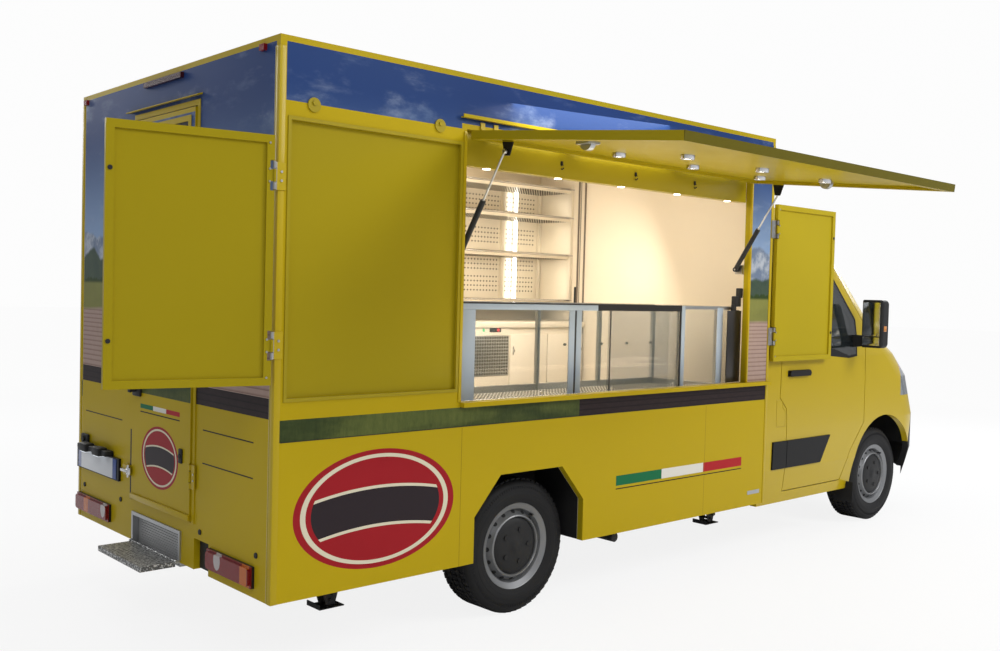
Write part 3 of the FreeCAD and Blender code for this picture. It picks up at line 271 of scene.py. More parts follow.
def glow(name, colour, strength):
    s = Shader(name)
    return s.finish(Base_Color=colour, Roughness=0.3, Emission_Strength=strength,
                    Emission_Color=s.mix(s.noise(40.0, 1.0) * 0.2, colour, (1.0, 1.0, 1.0)))


# ---------------------------------------------------------------- the printed wrap

FILM = (0.50, 0.36, 0.006)
# a darker yellow for the boards, the bay's frame, the header and the awning's underside: partly their own
# paint, partly painted shade, as these stand in less light than the film
BOARD_YELLOW_AND_SHADE = (0.38, 0.29, 0.008)
CREAM = (0.80, 0.71, 0.57)
INK = (0.014, 0.010, 0.011)
BLACK = (0.014, 0.014, 0.015)
# dark olive: the awning's yellow edge painted as it looks in shade, painted shade
SHADE_OLIVE = (0.140, 0.115, 0.010)


def panorama(s, x, y, z):
    """A made-up landscape by height: ploughed earth, pasture, hedges, two ranges of hills, a cloudy sky."""
    def noise(scale, detail, rough, tall=0.0):
        where = s.add("ShaderNodeCombineXYZ", None, x * scale, y * scale, z * (scale * tall))
        return s.add("ShaderNodeTexNoise", None, Vector=where, Scale=1.0, Detail=detail, Roughness=rough)

    sky = s.mix(z.ramp(1.75, 2.50), (0.270, 0.390, 0.60), (0.020, 0.052, 0.175))
    puffs = noise(1.5, 7.0, 0.62, 1.9).ramp(0.52, 0.80)
    wisps = noise(3.1, 5.0, 0.60, 3.2).ramp(0.54, 0.86) * 0.35
    shade = s.mix(noise(2.6, 5.0, 0.6, 2.0).ramp(0.35, 0.65), (0.22, 0.31, 0.46), (0.52, 0.59, 0.70))
    scene_colour = s.mix(puffs.either(wisps), sky, shade)

    def layer(below, top, colour, edge=0.012):
        return s.mix(1 - z.ramp(top - edge, top + edge), below, colour)

    far = s.mix(noise(9.0, 6.0, 0.65, 1.0).ramp(0.40, 0.62), (0.16, 0.21, 0.31), (0.46, 0.50, 0.57))
    scene_colour = layer(scene_colour, noise(1.9, 5.0, 0.55) * 0.42 + 1.70, far)
    near = s.mix(noise(14.0, 5.0, 0.6, 1.0), (0.030, 0.055, 0.050), (0.085, 0.120, 0.075))
    scene_colour = layer(scene_colour, noise(3.1, 4.0, 0.5) * 0.26 + 1.62, near)
    hedge = s.mix(noise(46.0, 4.0, 0.7, 1.0), (0.012, 0.026, 0.010), (0.060, 0.095, 0.025))
    scene_colour = layer(scene_colour, noise(16.0, 4.0, 0.7) * 0.09 + 1.61, hedge, 0.006)
    scene_colour = layer(scene_colour, 1.635, s.mix(0.5, pasture(s), (0.36, 0.35, 0.10)), 0.01)
    furrow = (z * z * 15.0).fract().ramp(0.0, 0.45)
    earth = s.mix(furrow * 0.7 + noise(30.0, 4.0, 0.6, 1.0) * 0.3, (0.21, 0.125, 0.100), (0.46, 0.335, 0.285))
    return layer(scene_colour, noise(1.2, 3.0, 0.5) * 0.10 + 1.44, earth)


def pasture(s):
    """Grass in soft light and dark swathes."""
    blades = s.noise(70.0, 4.0, 0.75, (1.0, 1.0, 0.3))
    swathes = s.noise(2.4, 4.0, 0.5, (1.0, 1.0, 3.0)).ramp(0.35, 0.65)
    return s.mix(swathes, s.mix(blades, (0.016, 0.028, 0.010), (0.060, 0.080, 0.026)),
                 s.mix(blades, (0.048, 0.070, 0.018), (0.150, 0.170, 0.045)))


def soil(s, z):
    """Dark damp earth in level rows."""
    rows = (z * 34.0).fract().ramp(0.0, 0.35)
    crumbs = s.noise(55.0, 4.0, 0.7, (0.35, 0.35, 1.0))
    return s.mix(rows * crumbs, INK, (0.046, 0.030, 0.030))


def medallion(s, across, z, centre, radii):
    """A plain red oval with a cream ring and a dark band, as a mask and its colour."""
    u, v = (across - centre[0]) / radii[0], (z - centre[1]) / radii[1]
    reach = (u * u + v * v).power(0.5)
    ring = reach.between(0.86, 0.92)
    band = (v + u * u * 0.22 - 0.04).size().below(0.30) * reach.below(0.80)
    edge = (v + u * u * 0.22 - 0.04).size().between(0.30, 0.35) * reach.below(0.80)
    red = s.mix(s.noise(3.0), (0.38, 0.016, 0.022), (0.30, 0.012, 0.018))
    colour = s.mix(band, red, (0.030, 0.022, 0.026))
    return reach.below(1.0), s.mix(ring.either(edge), colour, (0.72, 0.66, 0.50))


def tricolour(s, along, z, start, end, low, high):
    """A three-part stripe over a thin rule."""
    third = (end - start) / 3
    colour = s.mix(along.above(start + third), (0.010, 0.150, 0.060), (0.74, 0.72, 0.66))
    colour = s.mix(along.above(start + 2 * third), colour, (0.42, 0.016, 0.022))
    colour = s.mix(z.below(low - 0.004), colour, INK)
    stripe = z.between(low, high).either(z.between(low - 0.020, low - 0.014))
    return along.between(start, end) * stripe, colour


def film(s, colour, inside):
    """Glossy film over the sheet, satin panel within."""
    return s.finish(Base_Color=s.mix(inside, colour,
                                     s.mix(s.noise(1.5, 3.0) * 0.4, CREAM, (0.70, 0.62, 0.46))),
                    Roughness=0.30 + inside * 0.10 + s.noise(5.0, 3.0) * 0.07,
                    Coat_Weight=(1 - inside) * 0.04,
                    Coat_Roughness=0.05, Specular_IOR_Level=0.07,
                    Normal=s.bump(s.noise(150.0, 2.0), 0.04, 0.0006))


def serving_side():
    """Yellow film with a sky band, a strip under the hatch, a printed front post and plain graphics."""
    s = Shader("printed_wrap_right")
    x, y, z = s.place()
    along = x - BOX_REAR
    sheet = (y - BOX_RIGHT).size().below(SKIN)
    yellow = painted(s, FILM)
    # what is set back from the face, such as the recessed bay, takes the darker board yellow: partly painted
    # shade
    colour = s.mix(y.above(BOX_RIGHT + 0.006), yellow, painted(s, BOARD_YELLOW_AND_SHADE))
    badge, badge_colour = medallion(s, along, z, (0.527, 0.675), (0.43, 0.262))
    stripe, stripe_colour = tricolour(s, along, z, 2.107, 3.28, 0.600, 0.655)
    colour = s.mix(badge * sheet, colour, badge_colour)
    colour = s.mix(stripe * sheet, colour, stripe_colour)
    ground = s.mix(along.above(1.80), pasture(s), soil(s, z))
    colour = s.mix(z.between(*STRIP) * sheet, colour, ground)
    above_bay = z.above(2.390) * along.above(0.030)
    above_hatch = z.above(2.415)
    printed = (above_bay * along.below(0.955)).either(above_hatch).either(along.above(3.310) * z.above(1.118))
    colour = s.mix(printed * sheet * along.above(0.030), colour, panorama(s, x, y, z))
    seam = (along - 1.000).size().below(0.0012).either((along - 2.9).size().below(0.0012)) * z.below(0.995)
    colour = s.mix(seam, colour, (0.20, 0.14, 0.006))
    return film(s, colour, y.above(BOX_RIGHT + LINED))


def far_side():
    """The left side: the panorama above the waist and yellow below."""
    s = Shader("printed_wrap_left")
    x, y, z = s.place()
    along = x - BOX_REAR
    badge, badge_colour = medallion(s, along, z, (2.75, 0.715), (0.43, 0.240))
    stripe, stripe_colour = tricolour(s, along, z, 0.15, 0.85, 0.600, 0.655)
    colour = s.mix(badge, painted(s, FILM), badge_colour)
    colour = s.mix(stripe, colour, stripe_colour)
    strip = s.mix(along.above(1.80), pasture(s), soil(s, z))
    colour = s.mix(z.between(*STRIP), colour, strip)
    clear_edge = along.between(0.030, 3.515)
    colour = s.mix(z.above(STRIP[1]) * clear_edge, colour, panorama(s, x, y, z))
    return film(s, colour, y.below(BOX_LEFT - LINED))


def rear_print(s, x, y, z):
    """What the rear wall and its door share: the panorama, a dark and green strip, yellow below."""
    across = y - BOX_RIGHT
    colour = painted(s, FILM)
    ground = s.mix(across.between(0.70, 1.62), soil(s, z), pasture(s))
    colour = s.mix(z.between(1.095, 1.180), colour, ground)
    return s.mix(z.above(1.180), colour, panorama(s, x, y, z))


def rear_wall():
    s = Shader("printed_wrap_rear")
    x, y, z = s.place()
    across = y - BOX_RIGHT
    colour = rear_print(s, x, y, z)
    rules = across.between(0.16, 0.62) * (
        (z - 0.985).size().below(0.003)).either((z - 0.835).size().below(0.003))
    rules = rules.either(across.between(1.52, 2.02) * ((z - 0.93).size().below(0.003)))
    colour = s.mix(rules, colour, INK)
    proud = x.below(BOX_REAR - SKIN)
    colour = s.mix(proud.either(across.below(0.028)).either(across.above(2.082)), colour, painted(s, FILM))
    holder = proud * across.above(1.3) * z.below(0.9)
    colour = s.mix(holder, colour, (0.012, 0.012, 0.013))
    return film(s, colour, x.above(BOX_REAR + LINED))


def door_skin():
    """The rear door: printed like the wall, with a yellow window frame and a small oval below."""
    s = Shader("rear_door_film")
    x, y, z = s.place()
    across = y - BOX_RIGHT
    low, high = lo("rear_door"), hi("rear_door")
    colour = rear_print(s, x, y, z)
    badge, badge_colour = medallion(s, across * -1, z, (-1.045, 0.800), (0.205, 0.150))
    stripe, stripe_colour = tricolour(s, across * -1, z, -1.27, -0.83, 1.020, 1.042)
    colour = s.mix(badge, colour, badge_colour)
    colour = s.mix(stripe, colour, stripe_colour)
    frame_zone = x.below(BOX_REAR - 0.0135).either(y.below(low.y + 0.012)).either(y.above(high.y - 0.012))
    frame_zone = frame_zone.either(z.above(high.z - 0.022)).either(z.below(low.z + 0.012))
    colour = s.mix(frame_zone, colour, painted(s, FILM))
    return film(s, colour, x.above(BOX_REAR + 0.020))


def roof_skin():
    """The roof: its side edges carry the print up to a narrow yellow rim, plain above."""
    s = Shader("roof_film")
    x, y, z = s.place()
    nx, ny, nz = s.normal()
    along, across = x - BOX_REAR, y - BOX_RIGHT
    inside = along.between(0.030, 3.515) * ny.size().above(0.5)
    inside = inside.either(across.between(0.030, 2.080) * nx.below(-0.5))
    printed = inside * z.between(EAVES - 0.004, BOX_TOP - 0.025)
    streaks = s.noise(4.0, 5.0, 0.6, (0.3, 1.0, 1.0))
    pale = s.mix(streaks, (0.60, 0.60, 0.57), (0.48, 0.48, 0.45))
    top = nz.above(0.5) * z.below(BOX_TOP - 0.002)
    colour = s.mix(printed, painted(s, FILM), panorama(s, x, y, z))
    return film(s, s.mix(top, colour, pale), nz.below(-0.5))


def lid_skin():
    """The awning: the panorama on its weather face, the darker board yellow beneath, partly painted shade,
    and its rim painted dark olive as shade.
    """
    s = Shader("awning_film")
    x, y, z = s.place()
    nz = s.normal()[2]
    reach = (y - (BOX_RIGHT - 0.014)) * -LID_STRETCH
    upright = reach * -1 + PIVOT_Z
    along = x - BOX_REAR
    rim = reach.above(1.222).either(reach.below(0.045)).either(along.below(1.020)).either(along.above(3.260))
    outer = nz.above(0.5) * (1 - rim)
    # the awning's underside in the darker board yellow: partly painted shade
    colour = s.mix(outer, painted(s, BOARD_YELLOW_AND_SHADE), panorama(s, x, y * 0 + BOX_RIGHT, upright))
    # the awning's outer rim: its yellow painted dark olive, as painted shade
    colour = s.mix(reach.above(1.2445), colour, SHADE_OLIVE)
    hangs = reach * -LID_FALL + PIVOT_Z - z
    colour = s.mix(reach.between(0.10, 0.34) * hangs.above(0.046), colour, BLACK)
    return film(s, colour, 0)


def board_skin(name, yellow_as_lit):
    """A side board: plain yellow towards the street as it stands open, printed on its other face; its yellow
    is given per board, as painted light and shade.
    """
    s = Shader(name)
    x, y, z = s.place()
    ny = s.normal()[1]
    colour = s.mix(ny.above(0.5) * z.between(1.262, 2.218), painted(s, yellow_as_lit),
                   panorama(s, x, y * 0, z))
    return film(s, colour, 0)


def number_plate():
    """A blank reflective plate: pale field, blue ends and a dark rim line."""
    s = Shader("blank_plate")
    x, y, _ = s.place()
    rear = x.below(0)
    across = (y - (BOX_RIGHT + 1.815)).size() * rear + (y - CENTRE_Y).size() * (1 - rear)
    colour = s.mix(s.noise(9.0, 3.0) * 0.5, (0.62, 0.64, 0.67), (0.50, 0.52, 0.56))
    colour = s.mix(across.above(0.216), colour, (0.020, 0.060, 0.260))
    return s.finish(Base_Color=colour, Roughness=0.30 + s.noise(7.0) * 0.08, Coat_Weight=0.4)


# ---------------------------------------------------------------- mesh helpers

SLOT_OF = {label: slot for slot, labels in {
    "yellow_paint": "yellow_film yellow_board olive_edge",
    "black_plastic": "black_plastic blank_plate",
    "tyre_rubber": "tyre_rubber",
    "silver_steel": "silver_steel",
    "stainless": "stainless chromed_steel dark_steel rack_steel tray_steel punched_dark",
    "aluminium": "aluminium pale_trim bright_alloy",
    "frame_steel": "frame_steel",
    "clear_glass": "clear_glass smoked_glass mirror_silver",
    "lamp_lens": "lamp_lens amber_lens spot_light strip_light plate_lamp switch_green switch_red",
    "cream_panel": "cream_panel seam_grey",
    "seat_cloth": "seat_cloth",
    "dash_plastic": "dash_plastic",
}.items() for label in labels.split()}


def new_piece(name, mesh, material, body="vehicle", slot=None):
    """A mesh as a piece that rides a body; a slot is worked out from the material unless one is given, but
    nothing records it on the piece.
    """
    slot = slot or SLOT_OF[material.name.split(".")[0]]
    piece = bpy.data.objects.new(name, mesh)
    scene.collection.objects.link(piece)
    piece.data.materials.clear()
    piece.data.materials.append(material)
    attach(piece, body)
    return piece


def mesh_of(name, build, smooth=None):
    """A mesh made by build(bm); smooth is the crease angle in degrees."""
    bm = bmesh.new()
    build(bm)
    mesh = bpy.data.meshes.new(name)
    bm.to_mesh(mesh)
    bm.free()
    if smooth is not None:
        mesh.shade_smooth()
        mesh.set_sharp_from_angle(angle=math.radians(smooth))
    return mesh


def put_box(bm, low, high, bevel=0.0, segments=2):
    """A box between two corners with its edges eased."""
    low, high = Vector(low), Vector(high)
    made = bmesh.ops.create_cube(bm, size=1.0)["verts"]
    for vert in made:
        vert.co = low + Vector((vert.co[i] + 0.5) * (high[i] - low[i]) for i in range(3))
    if bevel:
        edges = list(dict.fromkeys(edge for vert in made for edge in vert.link_edges))
        bmesh.ops.bevel(bm, geom=edges, offset=bevel, segments=segments, affect="EDGES", profile=0.5)


def put_disc(bm, centre, axis, radius, deep, sides=32, taper=1.0):
    """A short closed cylinder about an axis, from centre - deep/2 to centre + deep/2."""
    turn = Vector((0, 0, 1)).rotation_difference(Vector(axis)).to_matrix().to_4x4()
    bmesh.ops.create_cone(bm, cap_ends=True, segments=sides, radius1=radius, radius2=radius * taper,
                          depth=deep,
                          matrix=Matrix.Translation(Vector(centre)) @ turn)


def put_lathe(bm, profile, centre, axis, sides=48):
    """Turn (radius, along) points about an axis."""
    turn = Vector((0, 0, 1)).rotation_difference(Vector(axis)).to_matrix()
    rings = []
    for radius, along in profile:
        if radius < 1e-6:
            rings.append([bm.verts.new(Vector(centre) + turn @ Vector((0, 0, along)))])
            continue
        rings.append([bm.verts.new(Vector(centre) + turn @ Vector((
            radius * math.cos(2 * math.pi * i / sides), radius * math.sin(2 * math.pi * i / sides), along)))
            for i in range(sides)])
    for first, second in zip(rings, rings[1:]):
        for i in range(sides):
            j = (i + 1) % sides
            ring = [first[i % len(first)], first[j % len(first)], second[j % len(second)],
                    second[i % len(second)]]
            corners = list(dict.fromkeys(ring))
            if len(corners) > 2:
                bm.faces.new(corners)


def built(name, build, material, smooth=None, body="vehicle", slot=None):
    """A piece whose mesh build(bm) makes."""
    return new_piece(name, mesh_of(name, build, smooth), material, body, slot)


def plain_box(name, low, high, material, bevel=0.0, body="vehicle"):
    return built(name, lambda bm: put_box(bm, low, high, bevel), material, 35, body)


def weld(bm):
    """Join what meets, and face all outward."""
    bmesh.ops.remove_doubles(bm, verts=bm.verts, dist=1e-6)
    bmesh.ops.recalc_face_normals(bm, faces=bm.faces)


def skin_rings(bm, rings):
    """Faces from each ring of points to the next, and a cap on either end."""
    count = len(rings[0])
    for first, second in zip(rings, rings[1:]):
        for k in range(count):
            bm.faces.new((first[k], first[(k + 1) % count], second[(k + 1) % count], second[k]))
    bm.faces.new(rings[0][::-1])
    bm.faces.new(rings[-1])


def merged(name, meshes):
    bm = bmesh.new()
    for mesh in meshes:
        bm.from_mesh(mesh)
    whole = bpy.data.meshes.new(name)
    bm.to_mesh(whole)
    bm.free()
    for mesh in meshes:
        bpy.data.meshes.remove(mesh)
    return whole


# ---------------------------------------------------------------- geometry nodes: what repeats

POINTS = {
    "grid": (("Columns", "NodeSocketInt", 2), ("Rows", "NodeSocketInt", 2),
             ("Step X", "NodeSocketFloat", 0.1), ("Step Y", "NodeSocketFloat", 0.1)),
    "ring": (("Count", "NodeSocketInt", 8), ("Ring radius", "NodeSocketFloat", 0.1)),
}
THINGS = {
    "rod": (("Sides", "NodeSocketInt", 12), ("Radius", "NodeSocketFloat", 0.01),
            ("Depth", "NodeSocketFloat", 0.01)),
    "block": (("Size", "NodeSocketVector", (0.01, 0.01, 0.01)),),
}
COMMON = (("Lean", "NodeSocketVector", (0, 0, 0)), ("Turn", "NodeSocketVector", (0, 0, 0)),
          ("Centre", "NodeSocketVector", (0, 0, 0)), ("Material", "NodeSocketMaterial", None))
trees = {}


def repeat_tree(points, thing):
    """A tree that sets a rod or a block at each point of a grid or a ring, then turns and places them all."""
    tree = bpy.data.node_groups.new(f"repeat_{thing}_on_{points}", "GeometryNodeTree")
    tree.interface.new_socket("Geometry", in_out="OUTPUT", socket_type="NodeSocketGeometry")
    for label, kind, value in POINTS[points] + THINGS[thing] + COMMON:
        made = tree.interface.new_socket(label, in_out="INPUT", socket_type=kind)
        if value is not None:
            made.default_value = value
    given = tree.nodes.new("NodeGroupInput").outputs

    def add(kind, _settings=(), **inputs):
        made = tree.nodes.new(kind)
        for key, value in _settings:
            setattr(made, key, value)
        for key, value in inputs.items():
            socket = made.inputs[key.replace("_", " ")]
            if isinstance(value, bpy.types.NodeSocket):
                tree.links.new(value, socket)
            else:
                socket.default_value = value
        return made.outputs

    def span(count, step):
        """The length that so many points take up at this step."""
        gaps = add("ShaderNodeMath", (("operation", "SUBTRACT"),), Value=given[count])[0]
        gaps.node.inputs[1].default_value = 1
        length = add("ShaderNodeMath", (("operation", "MULTIPLY"),), Value=gaps)[0]
        tree.links.new(given[step], length.node.inputs[1])
        return length

    if points == "grid":
        where = add("GeometryNodeMeshGrid", Size_X=span("Columns", "Step X"), Size_Y=span("Rows", "Step Y"),
                    Vertices_X=given["Columns"], Vertices_Y=given["Rows"])["Mesh"]
        facing = None
    else:
        where = add("GeometryNodeMeshCircle", Vertices=given["Count"], Radius=given["Ring radius"])["Mesh"]
        place = add("GeometryNodeInputPosition")["Position"]
        facing = add("FunctionNodeAlignRotationToVector", (("axis", "X"), ("pivot_axis", "Z")),
                     Vector=place)["Rotation"]
    if thing == "rod":
        part = add("GeometryNodeMeshCylinder", Vertices=given["Sides"], Radius=given["Radius"],
                   Depth=given["Depth"])["Mesh"]
    else:
        part = add("GeometryNodeMeshCube", Size=given["Size"])["Mesh"]
    leant = add("GeometryNodeTransform", Geometry=part, Rotation=given["Lean"])["Geometry"]
    spread = add("GeometryNodeInstanceOnPoints", Points=where, Instance=leant)
    if facing is not None:
        tree.links.new(facing, spread[0].node.inputs["Rotation"])
    real = add("GeometryNodeRealizeInstances", Geometry=spread[0])["Geometry"]
    turned = add("GeometryNodeTransform", Geometry=real, Rotation=given["Turn"],
                 Translation=given["Centre"])["Geometry"]
    painted_parts = add("GeometryNodeSetMaterial", Geometry=turned, Material=given["Material"])["Geometry"]
    tree.links.new(painted_parts, tree.nodes.new("NodeGroupOutput").inputs[0])
    return tree


def repeated(points, thing, material, **inputs):
    """The mesh a repeat tree gives for these named inputs."""
    if (points, thing) not in trees:
        trees[points, thing] = repeat_tree(points, thing)
    tree = trees[points, thing]
    host = bpy.data.objects.new("repeat_host", bpy.data.meshes.new("empty"))
    scene.collection.objects.link(host)
    modifier = host.modifiers.new("repeat", "NODES")
    modifier.node_group = tree
    inputs["Material"] = material
    keys = {item.name: item.identifier for item in tree.interface.items_tree if item.in_out == "INPUT"}
    for label, value in inputs.items():
        modifier[keys[label.replace("_", " ")]] = value
    bpy.context.view_layer.update()
    mesh = bpy.data.meshes.new_from_object(host.evaluated_get(bpy.context.evaluated_depsgraph_get()))
    bpy.data.objects.remove(host)
    return mesh


# ---------------------------------------------------------------- camera, light and floor

def studio():
    """The three-quarter view from behind the serving side, soft light, and a plain pale floor."""
    data = bpy.data.cameras.new("camera")
    camera = bpy.data.objects.new("camera", data)
    scene.collection.objects.link(camera)
    yaw, pitch, roll = math.radians(47.652), math.radians(-1.897), math.radians(1.495)
    forward = Vector((math.cos(yaw) * math.cos(pitch), math.sin(yaw) * math.cos(pitch), math.sin(pitch)))
    side = Vector((math.sin(yaw), -math.cos(yaw), 0))
    up = side.cross(forward)
    right = side * math.cos(roll) + up * math.sin(roll)
    upright = up * math.cos(roll) - side * math.sin(roll)
    turn = Matrix((right, upright, -forward)).transposed()
    camera.matrix_world = Matrix.Translation((-4.784, -4.184, 1.641)) @ turn.to_4x4()
    data.lens, data.sensor_width = 36.94, 36.0
    data.clip_end = 200
    scene.camera = camera
    scene.view_settings.view_transform = "Standard"

    def area(name, at, aim, width, height, power, colour=(1.0, 1.0, 1.0)):
        lamp = bpy.data.lights.new(name, "AREA")
        lamp.color = colour
        lamp.shape, lamp.size, lamp.size_y, lamp.energy = "RECTANGLE", width, height, power
        made = bpy.data.objects.new(name, lamp)
        made.location = at
        made.rotation_euler = (Vector(aim) - Vector(at)).to_track_quat("-Z", "Y").to_euler()
        scene.collection.objects.link(made)

    area("key", (-6.6, -7.6, 8.4), (0.3, -0.6, 1.2), 6, 4, 235)
    area("side", (4.6, -8.0, 7.4), (1.2, -0.5, 1.2), 5, 4, 590)
    area("left", (-2, 9.0, 5.5), (0, 0, 1.0), 6, 4, 300)
    area("front", (9.5, 1.0, 4.5), (2, 0, 1.0), 5, 3, 280)
    area("top", (0, 0, 8.5), (0, 0, 0), 8, 6, 240)
    area("cabin", (-0.80, 0.45, EAVES - 0.03), (-0.70, 0.45, 0), 2.8, 1.2, 58, (1.0, 0.93, 0.82))
    area("aisle", (-0.55, 0.26, 1.95), (-0.55, 1.50, 1.35), 2.2, 0.35, 19, (1.0, 0.93, 0.82))
    area("lid", (-0.55, -0.95, 1.20), (-0.55, -1.00, 2.3), 2.0, 0.5, 10, (1.0, 0.90, 0.70))

    world = bpy.data.worlds.new("studio")
    scene.world = world
    world.use_nodes = True
    tree = world.node_tree
    tree.nodes.clear()
    out = tree.nodes.new("ShaderNodeOutputWorld")
    seen, plain = tree.nodes.new("ShaderNodeBackground"), tree.nodes.new("ShaderNodeBackground")
    seen.inputs[0].default_value = (0.98, 0.98, 0.98, 1)
    plain.inputs[0].default_value = (0.92, 0.95, 1.0, 1)
    plain.inputs[1].default_value = 0.30
    path = tree.nodes.new("ShaderNodeLightPath")
    seen_by, gloss = tree.nodes.new("ShaderNodeMath"), tree.nodes.new("ShaderNodeMath")
    seen_by.operation, gloss.operation = "MAXIMUM", "MULTIPLY_ADD"
    gloss.inputs[1].default_value = 0.35
    tree.links.new(path.outputs["Is Camera Ray"], seen_by.inputs[0])
    tree.links.new(path.outputs["Is Transmission Ray"], seen_by.inputs[1])
    blend = tree.nodes.new("ShaderNodeMixShader")
    tree.links.new(path.outputs["Is Glossy Ray"], gloss.inputs[0])
    tree.links.new(seen_by.outputs[0], gloss.inputs[2])
    tree.links.new(gloss.outputs[0], blend.inputs[0])
    tree.links.new(plain.outputs[0], blend.inputs[1])
    tree.links.new(seen.outputs[0], blend.inputs[2])
    tree.links.new(blend.outputs[0], out.inputs[0])

    floor_mesh = mesh_of("floor", lambda bm: bmesh.ops.create_grid(bm, x_segments=1, y_segments=1, size=60))
    floor = bpy.data.objects.new("floor", floor_mesh)
    scene.collection.objects.link(floor)
    s = Shader("pale_floor")
    speck = s.noise(3.0, 3.0)
    diffuse = s.node("ShaderNodeBsdfDiffuse", None,
                     Color=s.mix(speck * 0.3, (0.86, 0.86, 0.86), (0.80, 0.80, 0.80)))
    white = s.node("ShaderNodeEmission", None, Color=(0.99, 0.99, 0.99), Strength=1.0)
    fade = s.node("ShaderNodeMixShader")
    camera_ray = s.add("ShaderNodeLightPath", None)
    x, y, _ = s.place()
    far = (x * x + y * y).power(0.5).ramp(5.0, 13.0)
    s.links.new((camera_ray * (far * 0.10 + 0.87)).socket, fade.inputs[0])
    s.links.new(diffuse.outputs[0], fade.inputs[1])
    s.links.new(white.outputs[0], fade.inputs[2])
    from_below = s.node("ShaderNodeMixShader")
    s.links.new(s.add("ShaderNodeNewGeometry", None, out=6).socket, from_below.inputs[0])
    s.links.new(fade.outputs[0], from_below.inputs[1])
    s.links.new(s.node("ShaderNodeBsdfTransparent").outputs[0], from_below.inputs[2])
    s.links.new(from_below.outputs[0], s.output.inputs[0])
    floor.data.materials.append(s.material)


# ---------------------------------------------------------------- outside of the box

RIGHT = (math.pi / 2, 0, 0)          # a grid or ring turned to face the vehicle's right or left


def screws(name, body, places, facing, radius=0.006, proud=0.003):
    """Domed bolt heads at places, with their axes along x, y or z."""
    axis = {"x": (1, 0, 0), "y": (0, 1, 0), "z": (0, 0, 1)}[facing]

    def build(bm):
        for place in places:
            put_disc(bm, place, axis, radius, proud * 2, 12, 0.8)
    return built(name, build, stainless, 40, body)


def rear_fittings():
    """Plate and lamps, locks, latch, sensors, kick rail, step plate, notch box, bolts and window seal."""
    pad = BOX_REAR - 0.014
    low, high = at(0, 1.555, 0.618), at(0, 2.075, 0.722)
    plain_box("number_plate", (pad - 0.003, low.y, low.z), (pad + 0.001, high.y, high.z), plate, 0.0008)

    def lamps(bm):
        put_box(bm, at(-0.050, 1.62, 0.729), at(-0.001, 2.01, 0.757), 0.006)
        for y in (1.72, 1.90):
            put_box(bm, at(-0.066, y - 0.045, 0.724), at(-0.012, y + 0.045, 0.768), 0.008)
    built("plate_lamp_holder", lamps, black, 35)

    def shine(bm):
        for y in (1.72, 1.90):
            put_box(bm, at(-0.060, y - 0.035, 0.7205), at(-0.020, y + 0.035, 0.7265), 0.001)
    built("plate_lamps", shine, lamp_white)

    def sensors(bm):
        for y in (0.122, 0.631, 1.523, 2.019):
            put_disc(bm, at(-0.002, y, 0.520), (-1, 0, 0), 0.013, 0.006, 28, 0.9)
    built("parking_sensors", sensors, black, 40)

    def locks(bm):
        put_box(bm, at(-0.016, 1.955, 0.752), at(-0.001, 2.045, 0.804), 0.006)
        put_disc(bm, at(-0.020, 2.0, 0.778), (-1, 0, 0), 0.016, 0.012, 24)
    built("locker_lock", locks, black, 40)

    def door_lock(bm):
        skin = BOX_REAR - 0.012
        put_box(bm, (skin - 0.014, at(0, 1.255, 0).y, 1.075), (skin + 0.001, at(0, 1.345, 0).y, 1.175), 0.007)
        put_disc(bm, (skin - 0.018, at(0, 1.300, 0).y, 1.148), (-1, 0, 0), 0.012, 0.010, 24)
        put_box(bm, (skin - 0.050, at(0, 1.285, 0).y, 1.095), (skin - 0.036, at(0, 1.315, 0).y, 1.215), 0.005)
        put_box(bm, (skin - 0.040, at(0, 1.290, 0).y, 1.098), (skin - 0.010, at(0, 1.310, 0).y, 1.118), 0.003)
    built("door_lock", door_lock, black, 40, "rear_door")

    def latch(bm):
        put_box(bm, at(-0.030, 1.350, 0.672), at(-0.022, 1.395, 0.708), 0.002)
        put_disc(bm, at(-0.026, 1.375, 0.690), (0, 0, 1), 0.007, 0.062, 20)
        put_box(bm, at(-0.037, 1.376, 0.682), at(-0.022, 1.452, 0.698), 0.003)
    built("door_latch_arm", latch, chrome, 40)

    def low_lock(bm):
        put_box(bm, at(-0.020, 0.792, 0.808), at(-0.011, 0.828, 0.876), 0.005)
        put_disc(bm, at(-0.021, 0.810, 0.842), (-1, 0, 0), 0.011, 0.006, 24)
    built("door_low_lock", low_lock, black, 40, "rear_door")

    def kick(bm):
        door_low, door_high = lo("rear_door"), hi("rear_door")
        put_box(bm, (BOX_REAR - 0.0225, door_low.y + 0.004, door_low.z + 0.003),
                (BOX_REAR - 0.0115, door_high.y - 0.004, door_low.z + 0.032), 0.004)
    built("door_kick_rail", kick, yellow, 35, "rear_door")

    def back_plate(bm):
        put_box(bm, at(0.020, 0.838, 0.326), at(0.024, 1.349, 0.470), 0.001)
        for rib in range(11):
            z = 0.336 + rib * 0.0125
            put_box(bm, at(0.0165, 0.880, z), at(0.0205, 1.307, z + 0.0055), 0.001)
    built("step_back_plate", back_plate, bright_alloy, 35)
    plain_box("notch_box", at(0.028, 0.549, 0.342), at(0.066, 0.688, 0.480), black, 0.002)
    screws("rear_hinge_bolts", "vehicle", [
        (BOX_REAR - 0.0125, lo("rear_door").y - dy, z + dz) for z in (0.76, 1.50, 2.24)
        for dy, dz in ((0.027, 0.014), (0.027, -0.014))], "x", 0.005)

    def seal(bm):
        low, high = lo("rear_door_glass"), hi("rear_door_glass")
        for x in (BOX_REAR - 0.0135, BOX_REAR + 0.008):
            put_frame(bm, "x", x, 0.010, (low.y, low.z), (high.y, high.z), 0.014)
    built("rear_window_seal", seal, black, body="rear_door")


